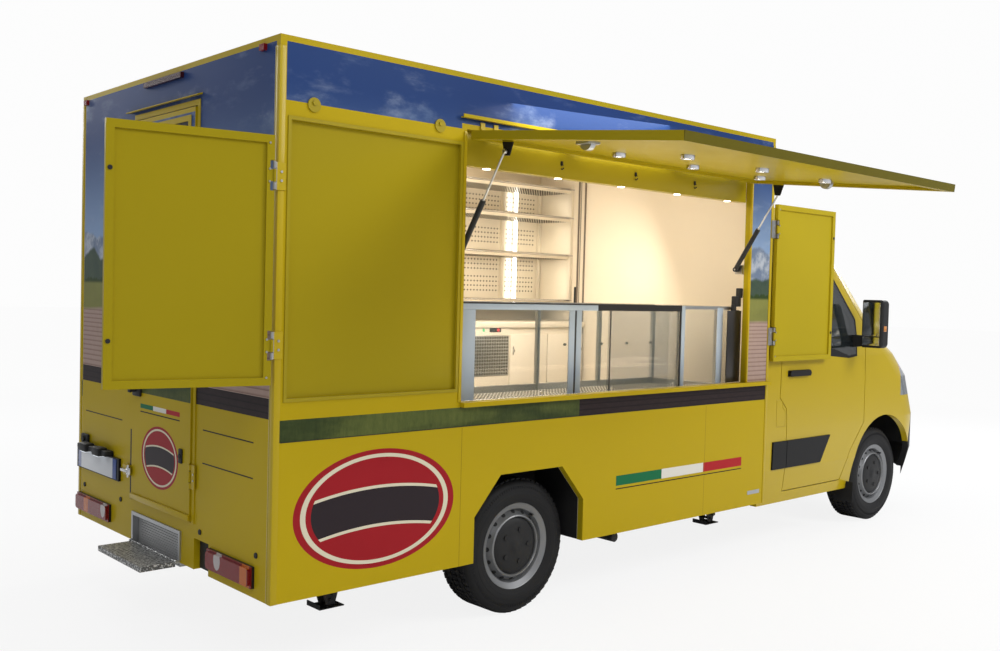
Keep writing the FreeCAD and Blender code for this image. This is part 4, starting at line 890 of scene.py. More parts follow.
def put_frame(bm, axis, level, deep, low, high, wide):
    """A flat rectangular ring in the plane across an axis, its inner edge wide in from low and high."""
    (a0, b0), (a1, b1) = low, high
    for rect in (((a0, b0), (a1, b0 + wide)), ((a0, b1 - wide), (a1, b1)),
                 ((a0, b0 + wide), (a0 + wide, b1 - wide)), ((a1 - wide, b0 + wide), (a1, b1 - wide))):
        corners = []
        for (u, v), w in ((rect[0], level), (rect[1], level + deep)):
            corners.append({"x": (w, u, v), "y": (u, w, v), "z": (u, v, w)}[axis])
        put_box(bm, *corners)


def side_fittings():
    """Corner profiles, the bay's and hatch's frames, black lines of painted shadow along the strip's edges, a
    catch and the boards' hinge bolts.
    """
    skin = BOX_RIGHT

    def profiles(bm):
        put_box(bm, (BOX_REAR - 0.0030, skin - 0.0030, BOX_LOW), (BOX_REAR + 0.026, skin + 0.001, EAVES),
                0.001)
        put_box(bm, (BOX_REAR - 0.0030, skin + 0.001, BOX_LOW), (BOX_REAR + 0.001, skin + 0.026, EAVES),
                0.001)
        put_box(bm, (BOX_FRONT - 0.024, skin - 0.0030, BOX_LOW), (BOX_FRONT, skin + 0.001, EAVES), 0.001)
        put_box(bm, (BOX_REAR - 0.0030, BOX_LEFT - 0.026, BOX_LOW), (BOX_REAR + 0.001, BOX_LEFT, EAVES),
                0.001)
        put_box(bm, (BOX_REAR + 0.001, BOX_LEFT - 0.001, BOX_LOW),
                (BOX_REAR + 0.026, BOX_LEFT + 0.003, EAVES))
        put_box(bm, (BOX_FRONT - 0.024, BOX_LEFT - 0.001, BOX_LOW), (BOX_FRONT, BOX_LEFT + 0.003, EAVES))
    built("corner_profiles", profiles, yellow, 35)

    def bay(bm):
        put_frame(bm, "y", skin - 0.0045, 0.006, (at(0.040, 0, 0).x, 1.166), (at(0.964, 0, 0).x, 2.329),
                  0.015)
        for x in (0.159, 0.823):
            put_disc(bm, at(x, -0.0030, 2.386), (0, 1, 0), 0.030, 0.006, 40)
            put_disc(bm, at(x, -0.0075, 2.394), (0, 1, 0), 0.010, 0.008, 20)
    # the bay frame in the darker board yellow, partly painted shade
    built("bay_frame", bay, board_yellow_and_shade, 35)

    def hatch_frame(bm):
        put_box(bm, at(0.967, -0.006, 1.118), at(0.985, 0.002, 2.378), 0.002)
        put_box(bm, at(3.295, -0.006, 1.118), at(3.309, 0.002, 2.378), 0.002)
    built("hatch_frame", hatch_frame, yellow, 35)

    # thin black boxes along the printed strip's top and bottom edges: painted shadow lines
    def shadow(bm):
        put_box(bm, at(0.985, -0.006, 1.0905), at(3.540, 0.001, 1.0945))
        put_box(bm, at(0.030, -0.0015, 1.0005), at(3.516, 0.001, 1.0030))
    built("strip_edges", shadow, black)

    def tags(bm):
        put_box(bm, at(3.355, -0.0015, 0.408), at(3.485, 0.001, 0.432), 0.0006)
    built("pale_tag", tags, aluminium)

    def jamb(bm):
        inner = 0.040
        put_box(bm, at(3.262, inner - 0.002, 1.640), at(3.294, inner + 0.030, 1.700), 0.004)
        put_box(bm, at(3.230, inner + 0.006, 1.585), at(3.290, inner + 0.040, 1.650), 0.006)
        put_box(bm, at(3.218, inner + 0.012, 1.540), at(3.252, inner + 0.034, 1.600), 0.006)
        put_disc(bm, at(3.268, inner + 0.024, 1.548), (1, 0, 0), 0.016, 0.040, 24)
    built("shutter_catch", jamb, black, 40)
    bolts = []
    for hinge_x, way in ((-0.024, 1), (3.574, -1)):
        for z in (1.40, 2.08):
            for dz in (0.018, -0.018):
                bolts.append(at(hinge_x + way * 0.034, -0.0085, z + dz))
    screws("board_hinge_bolts", "vehicle", bolts, "y", 0.0055)


def board_fittings():
    """Bolt heads down the side boards' hinge edges, and their keyhole plates."""
    for name, sign in (("rear", -1), ("front", 1)):
        node = f"side_board_{name}"
        swing = math.radians(11 if name == "rear" else 0)
        hinge = Vector((BOX_REAR + (-0.024 if name == "rear" else 3.574), BOX_RIGHT - 0.014, 0))

        def on_board(along, deep, z):
            turn = Matrix.Rotation(-swing, 3, "Z")
            return hinge + turn @ Vector((sign * along, deep, z))

        face = turned_axis(-swing)

        def heads(bm):
            for z in (1.272, 1.375, 1.425, 2.055, 2.105, 2.208):
                put_disc(bm, on_board(0.020, -0.0005, z), face, 0.0055, 0.005, 12, 0.8)
        built(f"{node}_bolts", heads, stainless, 40, node)

        def latch(bm):
            width = 0.640 if name == "rear" else 0.700
            for z in (1.42, 2.06):
                put_disc(bm, on_board(width - 0.016, -0.0005, z), face, 0.009, 0.005, 24)
        built(f"{node}_keyholes", latch, black, 40, node)


def turned_axis(angle):
    return Matrix.Rotation(angle, 3, "Z") @ Vector((0, -1, 0))


def on_lid(along, reach, deep):
    """A place on the awning: along the box, out from its hinge and down through its thickness."""
    return at(along, -0.014 - reach * math.cos(DROOP) + deep * math.sin(DROOP),
              PIVOT_Z - reach * math.sin(DROOP) - deep * math.cos(DROOP))


def lid_fittings():
    """Downlights set in the awning, its bracket, the hooks on the lintel and the nosing, whose yellow is
    painted dark olive as shade.
    """
    down = Vector((0, math.sin(DROOP), -math.cos(DROOP)))
    spots = [(1.700, 0.300), (2.290, 0.300), (2.910, 0.300), (1.738, 0.690), (2.349, 0.690), (2.950, 0.690)]

    def rims(bm):
        for along, reach in spots:
            put_lathe(bm, [(0, -0.004), (0.0335, -0.004), (0.0335, 0.022), (0.0310, 0.025), (0.0285, 0.025),
                           (0.0270, 0.0180), (0, 0.0180)], on_lid(along, reach, 0.0185), down, 36)
    built("awning_spot_rims", rims, chrome, 40, "awning")

    def lights(bm):
        for along, reach in spots:
            put_disc(bm, on_lid(along, reach, 0.0385), down, 0.0265, 0.004, 32)
    built("awning_spots", lights, spot_light, body="awning")

    def bracket(bm):
        put_disc(bm, on_lid(1.198, 0.560, 0.030), (1, 0, 0), 0.034, 0.030, 32)
        put_box(bm, on_lid(1.160, 0.600, 0.034), on_lid(1.236, 0.520, 0.019), 0.002)
        put_disc(bm, on_lid(3.120, 0.600, 0.030), (1, 0, 0), 0.034, 0.030, 32)
    built("awning_pull", bracket, aluminium, 40, "awning")

    def hooks(bm):
        for along in (1.645, 2.225, 2.754):
            put_box(bm, at(along - 0.006, 0.022, 2.292), at(along + 0.006, 0.0295, 2.312))
            put_hoop(bm, at(along, 0.0225, 2.283), 0.011, 0.0032)
    built("lintel_hooks", hooks, black, 40)

    def nosing(bm):
        end = 1.2485
        corners = [on_lid(0.995, end, -0.0005), on_lid(0.995, end, 0.0400),
                   on_lid(0.995, end - 0.018, 0.0400),
                   on_lid(0.995, end - 0.018, 0.0380), on_lid(0.995, end - 0.002, 0.0380),
                   on_lid(0.995, end - 0.002, 0.0010), on_lid(0.995, end - 0.018, 0.0010),
                   on_lid(0.995, end - 0.018, -0.0005)]
        put_prism(bm, corners, Vector((2.290, 0, 0)))
    # the nosing is yellow paint drawn in the painted-shade olive
    built("awning_nosing", nosing, olive_edge, 30, "awning")


def put_hoop(bm, centre, radius, thick, around=20, about=8, sweep=1.6):
    """An open ring of round wire standing in the plane across x."""
    rings = []
    for i in range(around + 1):
        angle = -math.pi * 0.9 + math.pi * sweep * i / around
        out = Vector((0, math.cos(angle), math.sin(angle)))
        rings.append([bm.verts.new(centre + out * (radius + thick * math.cos(t))
                                   + Vector((thick * math.sin(t), 0, 0)))
                      for t in (2 * math.pi * k / about for k in range(about))])
    skin_rings(bm, rings)


def put_prism(bm, corners, sweep):
    """A closed prism from a flat outline swept along a vector."""
    first = [bm.verts.new(corner) for corner in corners]
    last = [bm.verts.new(Vector(corner) + sweep) for corner in corners]
    bm.faces.new(first[::-1])
    bm.faces.new(last)
    for i, vert in enumerate(first):
        j = (i + 1) % len(first)
        bm.faces.new((vert, first[j], last[j], last[i]))
    bmesh.ops.recalc_face_normals(bm, faces=bm.faces)


# ---------------------------------------------------------------- wheels

TYRE_RADIUS, TYRE_HALF = 0.345, 0.1125
TREAD_ROWS = (
    # middle, width, blocks round, lean of the blocks
    (-0.0715, 0.027, 58, 0.16),
    (-0.0370, 0.030, 64, 0.42),
    (0.0, 0.032, 64, 0.0),
    (0.0370, 0.030, 64, -0.42),
    (0.0715, 0.027, 58, -0.16),
)


def treaded_tyre(name, centre, body, side):
    """A carcass with bead, rim-guard rib and grooves, and rows of tread blocks set round it."""
    half, radius = TYRE_HALF, TYRE_RADIUS
    flank = [(0.2205, half - 0.012), (0.236, half - 0.004), (0.243, half - 0.0035), (0.246, half - 0.0015),
             (0.252, half - 0.0015), (0.255, half), (0.272, half), (0.274, half - 0.0012),
             (0.290, half - 0.0012),
             (0.293, half - 0.0022), (0.311, half - 0.0035), (0.322, half - 0.008), (0.331, half - 0.0155),
             (0.337, half - 0.0255)]
    profile = [(r, -a) for r, a in flank] + [(r, a) for r, a in reversed(flank)]
    profile.append(profile[0])

    def carcass(bm):
        put_lathe(bm, profile, (0, 0, 0), (0, 1, 0), 96)
        weld(bm)
    parts = [mesh_of("carcass", carcass, 30)]
    for row_middle, wide, count, lean in TREAD_ROWS:
        pitch = 2 * math.pi * radius / count
        block = (radius * 0.032, pitch * 0.80, wide)
        parts.append(repeated("ring", "block", rubber, Count=count,
                              Ring_radius=radius - block[0] / 2 - 0.0003,
                              Size=block, Lean=(lean, 0, 0), Turn=RIGHT, Centre=(0, row_middle, 0)))
    parts.append(repeated("ring", "block", rubber, Count=120, Ring_radius=0.3015, Size=(0.014, 0.0022, 0.003),
                          Turn=RIGHT, Centre=(0, side * (half - 0.0018), 0)))
    mesh = merged(name, parts)
    mesh.transform(Matrix.Translation(centre))
    piece = new_piece(name, mesh, rubber, body)
    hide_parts(body.replace("wheel", "tyre"))


def wheel_fittings(name, centre, body, side):
    """The rim's raised face with its slots, the domed centre cap with its bolt covers, and the valve."""
    out = Vector((0, side, 0))

    def face(bm):
        put_lathe(bm, [(0.1925, 0.0880), (0.1860, 0.0660), (0.1800, 0.0640), (0.1640, 0.0830),
                       (0.1600, 0.0960),
                       (0.1560, 0.1010), (0.1510, 0.1020), (0.1470, 0.0980), (0.1455, 0.0860),
                       (0.1455, 0.0560),
                       (0.1800, 0.0590), (0.1895, 0.0860), (0.1925, 0.0880)], centre, out, 96)
        weld(bm)
    built(f"rim_face_{name}", face, silver, 45, body)

    # the slots are black discs on the rim's face: painted shade where the rim is cut through
    def slots(bm):
        for i in range(SLOTS):
            around = Vector((math.cos(math.tau * i / SLOTS), 0, math.sin(math.tau * i / SLOTS)))
            tilted = (around * 0.765 + out * 0.644).normalized()
            put_disc(bm, centre + around * 0.1722 + out * 0.0734, tilted, 0.0118, 0.0022, 20)
    built(f"rim_slots_{name}", slots, black, 40, body)

    def cap(bm):
        put_lathe(bm, [(0, 0.1060), (0.024, 0.1060), (0.030, 0.1030), (0.070, 0.1030), (0.112, 0.0985),
                       (0.136, 0.0930), (0.1452, 0.0860), (0.1452, 0.0600), (0, 0.0725)], centre, out, 64)
    built(f"cap_{name}", cap, black, 35, body)

    bolts = repeated("ring", "rod", black, Count=5, Ring_radius=0.0850, Sides=12, Radius=0.0130, Depth=0.010,
                     Turn=RIGHT, Centre=tuple(centre + out * 0.1020))
    new_piece(f"bolt_caps_{name}", bolts, black, body)

    def valve(bm):
        spot = centre + out * 0.080 + Vector((0.186 * math.cos(0.9), 0, 0.186 * math.sin(0.9)))
        put_disc(bm, spot, out, 0.0045, 0.034, 12)
        put_disc(bm, spot + out * 0.016, out, 0.0060, 0.012, 12)
    built(f"valve_{name}", valve, black, 40, body)

    def lip(bm):
        put_lathe(bm, [(0.2165, 0.1000), (0.2195, 0.1012), (0.2215, 0.0985), (0.2195, 0.0950),
                       (0.2150, 0.0960),
                       (0.2165, 0.1000)], centre, out, 96)
        weld(bm)
    built(f"rim_lip_{name}", lip, silver, 60, body)


def dress_wheels():
    for name in WHEELS:
        centre = middle(f"tyre_{name}")
        side = 1 if name.endswith("left") else -1
        treaded_tyre(f"treaded_tyre_{name}", centre, f"wheel_{name}", side)
        wheel_fittings(name, centre, f"wheel_{name}", side)


def mudflaps():
    """Rubber flaps behind the front wheels."""
    def flaps(bm):
        for y in (0.045, 2.065):
            put_box(bm, at(4.655, y - 0.05, 0.205), at(4.664, y + 0.09, 0.350), 0.004)
    built("mudflaps", flaps, rubber, 35, slot="black_plastic")


# ---------------------------------------------------------------- inside the box

def lining():
    """The sliding door's joint and pull in the front wall, the cornices and the ceiling's downlights."""
    wall = BOX_LEFT - 0.040

    def joints(bm):
        put_box(bm, at(3.4965, 1.626, 0.545), at(3.4995, 1.631, EAVES))
        for y in (1.576, 1.640):
            put_box(bm, at(3.484, y, 0.545), at(3.4985, y + 0.006, EAVES), 0.001)
    built("panel_joints", joints, seam_grey)
    plain_box("door_pull", at(3.488, 1.655, 1.560), at(3.4985, 1.672, 1.690), black, 0.003)

    def cove(bm):
        for low, high in (((0.045, wall - 0.020, EAVES - 0.020), (3.495, wall, EAVES)),
                          ((0.045, BOX_RIGHT + 0.040, EAVES - 0.020), (3.495, BOX_RIGHT + 0.060, EAVES))):
            put_box(bm, (BOX_REAR + low[0], low[1], low[2]), (BOX_REAR + high[0], high[1], high[2]), 0.004)
    built("ceiling_cove", cove, aluminium, 35)

    columns = 6
    rims = repeated("grid", "rod", chrome, Columns=columns, Rows=2, Step_X=0.52, Step_Y=0.70, Sides=32,
                    Radius=0.036, Depth=0.006, Centre=tuple(at(1.85, 1.10, EAVES - 0.0028)))
    new_piece("ceiling_spot_rims", rims, chrome)
    lights = repeated("grid", "rod", spot_light, Columns=columns, Rows=2, Step_X=0.52, Step_Y=0.70, Sides=28,
                      Radius=0.028, Depth=0.004, Centre=tuple(at(1.85, 1.10, EAVES - 0.0068)))
    new_piece("ceiling_spots", lights, spot_light)


def hatch_header():
    """The yellow header board across the top of the hatch, with small lamps let into its underside."""
    low, high = at(1.000, 0.029, HEADER_LOW), at(3.280, 0.082, 2.391)

    def board(bm):
        put_box(bm, low, high, 0.003)
    # the header in the darker board yellow, partly painted shade
    built("hatch_header", board, board_yellow_and_shade, 35)
    lamps = repeated("grid", "rod", spot_light, Columns=5, Rows=1, Step_X=0.49, Step_Y=1.0, Sides=24,
                     Radius=0.019,
                     Depth=0.004, Centre=((low.x + high.x) / 2, (low.y + high.y) / 2, low.z - 0.001))
    new_piece("header_lamps", lamps, spot_light)


def corner_rack():
    """The rack in the front corner: sheet back and end, posts, and shelves with turned-up lips."""
    low, high = at(2.300, 1.700, 1.548), Vector((BOX_REAR + 3.498, BOX_LEFT - 0.040, 2.445))
    shelves = (1.560, 1.897, 2.177, 2.390)
    skin, lip = 0.004, RACK_LIP

    def sheets(bm):
        put_box(bm, (low.x, high.y - skin, low.z), high)
        put_box(bm, (high.x - skin, low.y + 0.02, low.z), (high.x, high.y - skin, high.z))
        for x in (low.x, BOX_REAR + 3.080, high.x - 0.030):
            put_box(bm, (x, high.y - 0.030, low.z), (x + 0.024, high.y - skin, high.z), 0.001)
        put_box(bm, (high.x - 0.026, low.y, low.z), (high.x - skin, low.y + 0.026, high.z), 0.001)
        for z in shelves:
            put_prism(bm, [(low.x, high.y - skin, z), (low.x, high.y - skin, z + skin),
                           (low.x, low.y + 0.030, z + skin), (low.x, low.y + 0.012, z + lip),
                           (low.x, low.y, z + lip),
                           (low.x, low.y, z + lip - skin), (low.x, low.y + 0.008, z + lip - skin),
                           (low.x, low.y + 0.024, z)], Vector((high.x - low.x - skin, 0, 0)))
    built("corner_rack", sheets, rack_steel, 30)
    dress_rack("corner_rack", low, high, shelves, (1.700, 1.860, 2.060, 2.300), BOX_REAR + 3.204)


def dress_rack(label, low, high, shelves, bands, strip_x):
    """Perforations in a rack's shelves and back as dark discs of painted shade, a rail along each lip and a
    lit strip.
    """
    columns = int((high.x - low.x - 0.04) / 0.025)
    centre_x = (low.x + high.x) / 2
    holes = []
    # the shelves' perforations are dark discs: painted shade for the holes
    for z in shelves:
        for step in (0, 0.0125):
            holes.append(repeated("grid", "rod", hole_shade, Columns=columns, Rows=12, Step_X=0.025,
                                  Step_Y=0.025,
                                  Sides=8, Radius=0.0058, Depth=0.0052,
                                  Centre=(centre_x + step - 0.006, low.y + 0.185 + step, z + 0.002)))
    new_piece(f"{label}_perforations", merged(f"{label}_perforations", holes), hole_shade)
    # the back's slots likewise: dark discs of painted shade
    slots = [repeated("grid", "rod", hole_shade, Columns=int(columns * 0.78), Rows=4, Step_X=0.031,
                      Step_Y=0.034, Sides=8,
                      Radius=0.0062, Depth=0.0016, Turn=RIGHT, Centre=(centre_x, high.y - 0.0043, z))
             for z in bands]
    new_piece(f"{label}_back_slots", merged(f"{label}_back_slots", slots), hole_shade)
    plain_box(f"{label}_light_strip", (strip_x - 0.013, high.y - 0.050, low.z + 0.02),
              (strip_x + 0.013, high.y - 0.036, high.z - 0.01), strip_light, 0.003)

    def lips(bm):
        for z in shelves:
            put_disc(bm, (centre_x, low.y + 0.006, z + RACK_LIP), (1, 0, 0), 0.0080, high.x - low.x - 0.006,
                     16)
            for x in (low.x + 0.001, high.x - 0.007):
                put_box(bm, (x, low.y + 0.010, z + 0.002), (x + 0.002, high.y - 0.004, z + RACK_LIP))
    built(f"{label}_lips", lips, chrome, 40)


def tall_glass():
    """The case at its full height: glazing, posts, rails and trims over a plain counter body."""
    low, high = lo("display_glass"), hi("display_glass")
    pane = 0.008

    def panes(bm):
        put_box(bm, low, (high.x, low.y + pane, GLASS_TOP), 0.001)
        put_box(bm, (low.x, low.y + pane, low.z), (low.x + pane, high.y, GLASS_TOP), 0.001)
        put_box(bm, (high.x - pane, low.y + pane, low.z), (high.x, high.y, GLASS_TOP), 0.001)
        put_box(bm, (low.x + pane, low.y + pane, GLASS_TOP - pane), (high.x - pane, high.y, GLASS_TOP), 0.001)
    glazing = built("case_glazing", panes, clear)
    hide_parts("display_glass")

    def posts(bm):
        for along, y in ((0.008, low.y + 0.008), (0.786, low.y + 0.008), (1.708, low.y + 0.008),
                         (2.070, low.y + 0.008), (0.008, high.y - 0.032), (0.560, high.y - 0.032),
                         (1.100, high.y - 0.032), (1.640, high.y - 0.032), (2.168, high.y - 0.032)):
            put_box(bm, (low.x + along, y, 1.098), (low.x + along + 0.024, y + 0.024, GLASS_TOP - 0.008),
                    0.001)
    built("case_posts", posts, stainless)

    def body(bm):
        base, deep = lo("display_case"), BOX_RIGHT + 0.415
        beside_arch = BOX_REAR + 1.911
        put_box(bm, (low.x, low.y, 0.845), (high.x, high.y, 1.010), 0.001)
        put_box(bm, (low.x, deep, base.z), (high.x, high.y - 0.002, 0.845), 0.001)
        put_box(bm, (beside_arch, low.y + 0.002, base.z), (high.x, deep, 0.845))
        for x0, y0, x1, y1 in ((low.x, low.y, high.x, low.y + 0.038), (low.x, high.y - 0.030, high.x, high.y),
                               (low.x, low.y + 0.038, low.x + 0.030, high.y - 0.030),
                               (high.x - 0.030, low.y + 0.038, high.x, high.y - 0.030)):
            put_box(bm, (x0, y0, 1.010), (x1, y1, 1.100), 0.001)
        for door in range(3):
            x = beside_arch + 0.02 + door * 0.43
            put_box(bm, (x, high.y - 0.003, base.z + 0.02), (x + 0.415, high.y + 0.001, 0.830), 0.002)
    case = built("counter_body", body, stainless)
    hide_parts("display_case")

    def pale(bm):
        for x0, x1, y, z0, z1 in ((0.000, 0.974, 0.004, GLASS_TOP - 0.034, GLASS_TOP - 0.004),
                                  (0.000, 0.096, 0.006, 1.112, GLASS_TOP - 0.034),
                                  (0.750, 0.792, 0.006, 1.112, GLASS_TOP - 0.034),
                                  (0.806, 0.844, 0.006, 1.112, GLASS_TOP - 0.034),
                                  (1.703, 1.736, 0.006, 1.112, GLASS_TOP),
                                  (2.054, 2.110, 0.006, 1.112, GLASS_TOP - 0.010)):
            put_box(bm, (low.x + x0, low.y - y, z0), (low.x + x1, low.y - 0.0005, z1), 0.001)
    built("case_pale_trim", pale, pale_trim, 35)

    def rail(bm):
        put_box(bm, (low.x + 0.01, high.y - 0.024, GLASS_TOP - 0.030),
                (high.x - 0.01, high.y, GLASS_TOP - 0.001))
        put_box(bm, (low.x + 1.736, low.y - 0.003, GLASS_TOP - 0.020), (high.x, low.y - 0.0005, GLASS_TOP))
    built("case_rails", rail, stainless, 35)

    def dark_parts(bm):
        put_box(bm, (low.x + 0.020, low.y - 0.0046, GLASS_TOP - 0.005),
                (low.x + 1.703, low.y + 0.004, GLASS_TOP + 0.002))
        put_box(bm, (low.x + 0.974, low.y - 0.004, GLASS_TOP - 0.034),
                (low.x + 1.703, low.y - 0.0005, GLASS_TOP - 0.005))
        put_box(bm, (low.x + 0.792, low.y - 0.004, 1.112), (low.x + 0.806, low.y - 0.0005, GLASS_TOP - 0.034))
        put_box(bm, (low.x + 1.076, low.y - 0.003, 1.112), (low.x + 1.084, low.y - 0.0005, GLASS_TOP - 0.034))
        put_box(bm, (low.x + 1.690, low.y - 0.003, 1.112), (low.x + 1.703, low.y - 0.0005, GLASS_TOP - 0.034))
        put_box(bm, (low.x + 2.112, low.y - 0.040, 1.118), (high.x + 0.053, low.y - 0.034, 1.560), 0.001)
    built("case_dark_trim", dark_parts, dark_steel, 35)
    plain_box("sliding_pane", (low.x + 1.080, low.y + 0.012, 1.112),
              (low.x + 1.700, low.y + 0.016, GLASS_TOP - 0.03),
              smoked_glass, 0.0005)


def dress_counter():
    """The display well's punched trays and grille, glass dividers, trims and studs."""
    case_low, case_high = lo("display_case"), hi("display_case")
    glass_low, glass_high = lo("display_glass"), hi("display_glass")
    well_z = 1.010

    def trays(bm):
        for i in range(4):
            x0 = case_low.x + 0.034 + i * 0.5340
            put_box(bm, (x0, case_low.y + 0.042, well_z + 0.050),
                    (x0 + 0.529, case_high.y - 0.034, well_z + 0.054))
    built("well_trays", trays, tray_steel)
    # the trays' holes are dark discs: painted shade
    holes = repeated("grid", "rod", hole_shade, Columns=84, Rows=21, Step_X=0.025, Step_Y=0.025, Sides=8,
                     Radius=0.0066, Depth=0.0012,
                     Centre=(middle("display_case").x, (case_low.y + case_high.y) / 2 + 0.004,
                             well_z + 0.0545))
    new_piece("tray_perforations", holes, hole_shade)
    # the grille's slots too are dark discs of painted shade
    rack = repeated("grid", "rod", hole_shade, Columns=86, Rows=3, Step_X=0.025, Step_Y=0.020, Sides=8,
                    Radius=0.0066,
                    Depth=0.0012, Centre=(middle("display_case").x, case_low.y + 0.062, 1.1046))
    plain_box("counter_grille", (case_low.x + 0.035, case_low.y + 0.034, 1.099),
              (case_high.x - 0.035, case_low.y + 0.092, 1.1042), tray_steel, 0.0006)
    new_piece("grille_slots", rack, hole_shade)

    def dividers(bm):
        for i in range(1, 4):
            x = case_low.x + 0.034 + i * 0.5340 - 0.0025
            put_box(bm, (x - 0.0025, glass_low.y + 0.034, well_z + 0.052),
                    (x + 0.0025, glass_high.y - 0.02, GLASS_TOP - 0.03))
    built("glass_dividers", dividers, clear)

    def trims(bm):
        put_box(bm, (case_low.x + 0.002, glass_low.y - 0.004, 1.098),
                (case_high.x - 0.002, glass_low.y + 0.003, 1.111),
                0.001)
        for i in range(5):
            x = case_low.x + 0.020 + i * (case_high.x - case_low.x - 0.040) / 4
            put_disc(bm, (x, glass_low.y - 0.0015, 1.125), (0, -1, 0), 0.009, 0.007, 24)
    built("case_trims", trims, chrome, 40)

    def knobs(bm):
        for along in (1.33, 1.66, 1.90, 2.14):
            put_disc(bm, (case_low.x + along, glass_high.y - 0.036, 1.330), (0, -1, 0), 0.008, 0.012, 24)
    built("pane_studs", knobs, black, 40)


def dress_cabinets():
    """The refrigerated cabinets under the worktop: doors, handles, a meshed cooling unit and its switches."""
    low, high = lo("back_cabinets"), hi("back_cabinets")
    front, top = low.y, WORKTOP
    doors = ((0.030, 0.350), (0.750, 1.110), (1.118, 1.478))

    def bodies(bm):
        put_box(bm, (low.x, front + 0.018, low.z + 0.090), (high.x, high.y, top - 0.040), 0.001)
        put_box(bm, (low.x, front + 0.050, low.z), (high.x, high.y, low.z + 0.090))
        put_box(bm, (low.x - 0.010, front - 0.006, top - 0.040), (high.x, high.y, top), 0.004)
        for first, last in doors:
            put_box(bm, (low.x + first, front, low.z + 0.100), (low.x + last, front + 0.018, top - 0.088),
                    0.003)
        put_box(bm, (low.x + 0.354, front + 0.004, low.z + 0.100),
                (low.x + 0.746, front + 0.018, top - 0.044), 0.002)
    cabinets = built("chilled_cabinets", bodies, cream, 35)
    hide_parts("back_cabinets")

    def handles(bm):
        for along in (0.325, 0.775, 1.453):
            put_box(bm, (low.x + along - 0.006, front - 0.006, top - 0.230),
                    (low.x + along + 0.006, front, top - 0.170),
                    0.002)
            put_disc(bm, (low.x + along, front - 0.009, top - 0.200), (0, -1, 0), 0.009, 0.010, 20)
    built("cabinet_handles", handles, chrome, 40)
    unit_x, unit_z = low.x + 0.550, 1.200

    def louvre(bm):
        put_box(bm, (unit_x - 0.186, front + 0.001, unit_z - 0.140),
                (unit_x + 0.186, front + 0.005, unit_z + 0.140),
                0.001)
    built("unit_louvre", louvre, stainless, 35)
    # the cooling unit's vent holes as dark discs: painted shade
    vents = [repeated("grid", "rod", hole_shade, Columns=16, Rows=12, Step_X=0.0225, Step_Y=0.0225, Sides=8,
                      Radius=0.0085, Depth=0.002, Turn=RIGHT, Centre=(unit_x, front + 0.0004, unit_z))]
    new_piece("unit_vents", merged("unit_vents", vents), hole_shade)
    plain_box("unit_panel", (unit_x + 0.005, front + 0.0005, 1.362), (unit_x + 0.110, front + 0.005, 1.389),
              black, 0.001)
    for label, along, wide, material in (("green", -0.060, 0.016, switch_green),
                                         ("red", 0.070, 0.022, switch_red)):
        plain_box(f"unit_switch_{label}", (unit_x + along, front - 0.003, 1.366),
                  (unit_x + along + wide, front + 0.001, 1.386), material, 0.002)


def jack_feet():
    """A cranked foot plate between two cheeks, carried under each jack leg."""
    for end, along in (("rear", 0.100), ("front", 0.235)):
        for side in ("right", "left"):
            node = f"jack_leg_{end}_{side}"
            centre, leg_low = middle(node), lo(node)
            x, z = leg_low.x + 0.020 + along, leg_low.z + 0.016

            def foot(bm):
                for way in (-1, 1):
                    y = centre.y + way * 0.032
                    put_prism(bm, [(x - 0.046, y - 0.0025, z), (x + 0.046, y - 0.0025, z),
                                   (x + 0.026, y - 0.0025, z - 0.072), (x - 0.020, y - 0.0025, z - 0.072)],
                              Vector((0, 0.005, 0)))
                put_disc(bm, (x, centre.y, z - 0.050), (0, 1, 0), 0.008, 0.084, 20)
                put_box(bm, (x - 0.066, centre.y - 0.052, z - 0.084),
                        (x + 0.066, centre.y + 0.052, z - 0.078), 0.002)
                put_box(bm, (x - 0.070, centre.y - 0.052, z - 0.082),
                        (x - 0.064, centre.y + 0.052, z - 0.058), 0.002)
                put_disc(bm, (x + 0.010, centre.y - 0.046, z - 0.020), (0, 1, 0), 0.013, 0.022, 6)
            built(f"jack_foot_{end}_{side}", foot, frame_steel, 35, node)


def step_grip():
    """The mesh of raised grip studs on the fold-down tread."""
    low, high = lo("step_tread"), hi("step_tread")
    return repeated("grid", "rod", aluminium, Columns=7, Rows=21, Step_X=0.0205, Step_Y=0.0222, Sides=10,
                     Radius=0.0058, Depth=0.004,
                     Centre=((low.x + high.x) / 2 - 0.008, (low.y + high.y) / 2, high.z - 0.0072))


# ---------------------------------------------------------------- the cab

WINDOW = [(3.850, 1.310), (3.850, 1.960), (3.890, 1.995), (4.270, 1.995), (4.700, 1.500), (4.700, 1.262),
          (4.600, 1.252)]
SCREEN = [(-0.850, 1.425), (-0.760, 2.105), (0.760, 2.105), (0.850, 1.425)]


def outside_of(u, v, points):
    """How far a point lies outside a convex outline that runs clockwise, as a shader value."""
    reach = None
    for (u0, v0), (u1, v1) in zip(points, points[1:] + points[:1]):
        length = math.hypot(u1 - u0, v1 - v0)
        nu, nv = -(v1 - v0) / length, (u1 - u0) / length
        side = u * nu + v * nv - (u0 * nu + v0 * nv)
        reach = side if reach is None else reach.either(side)
    return reach


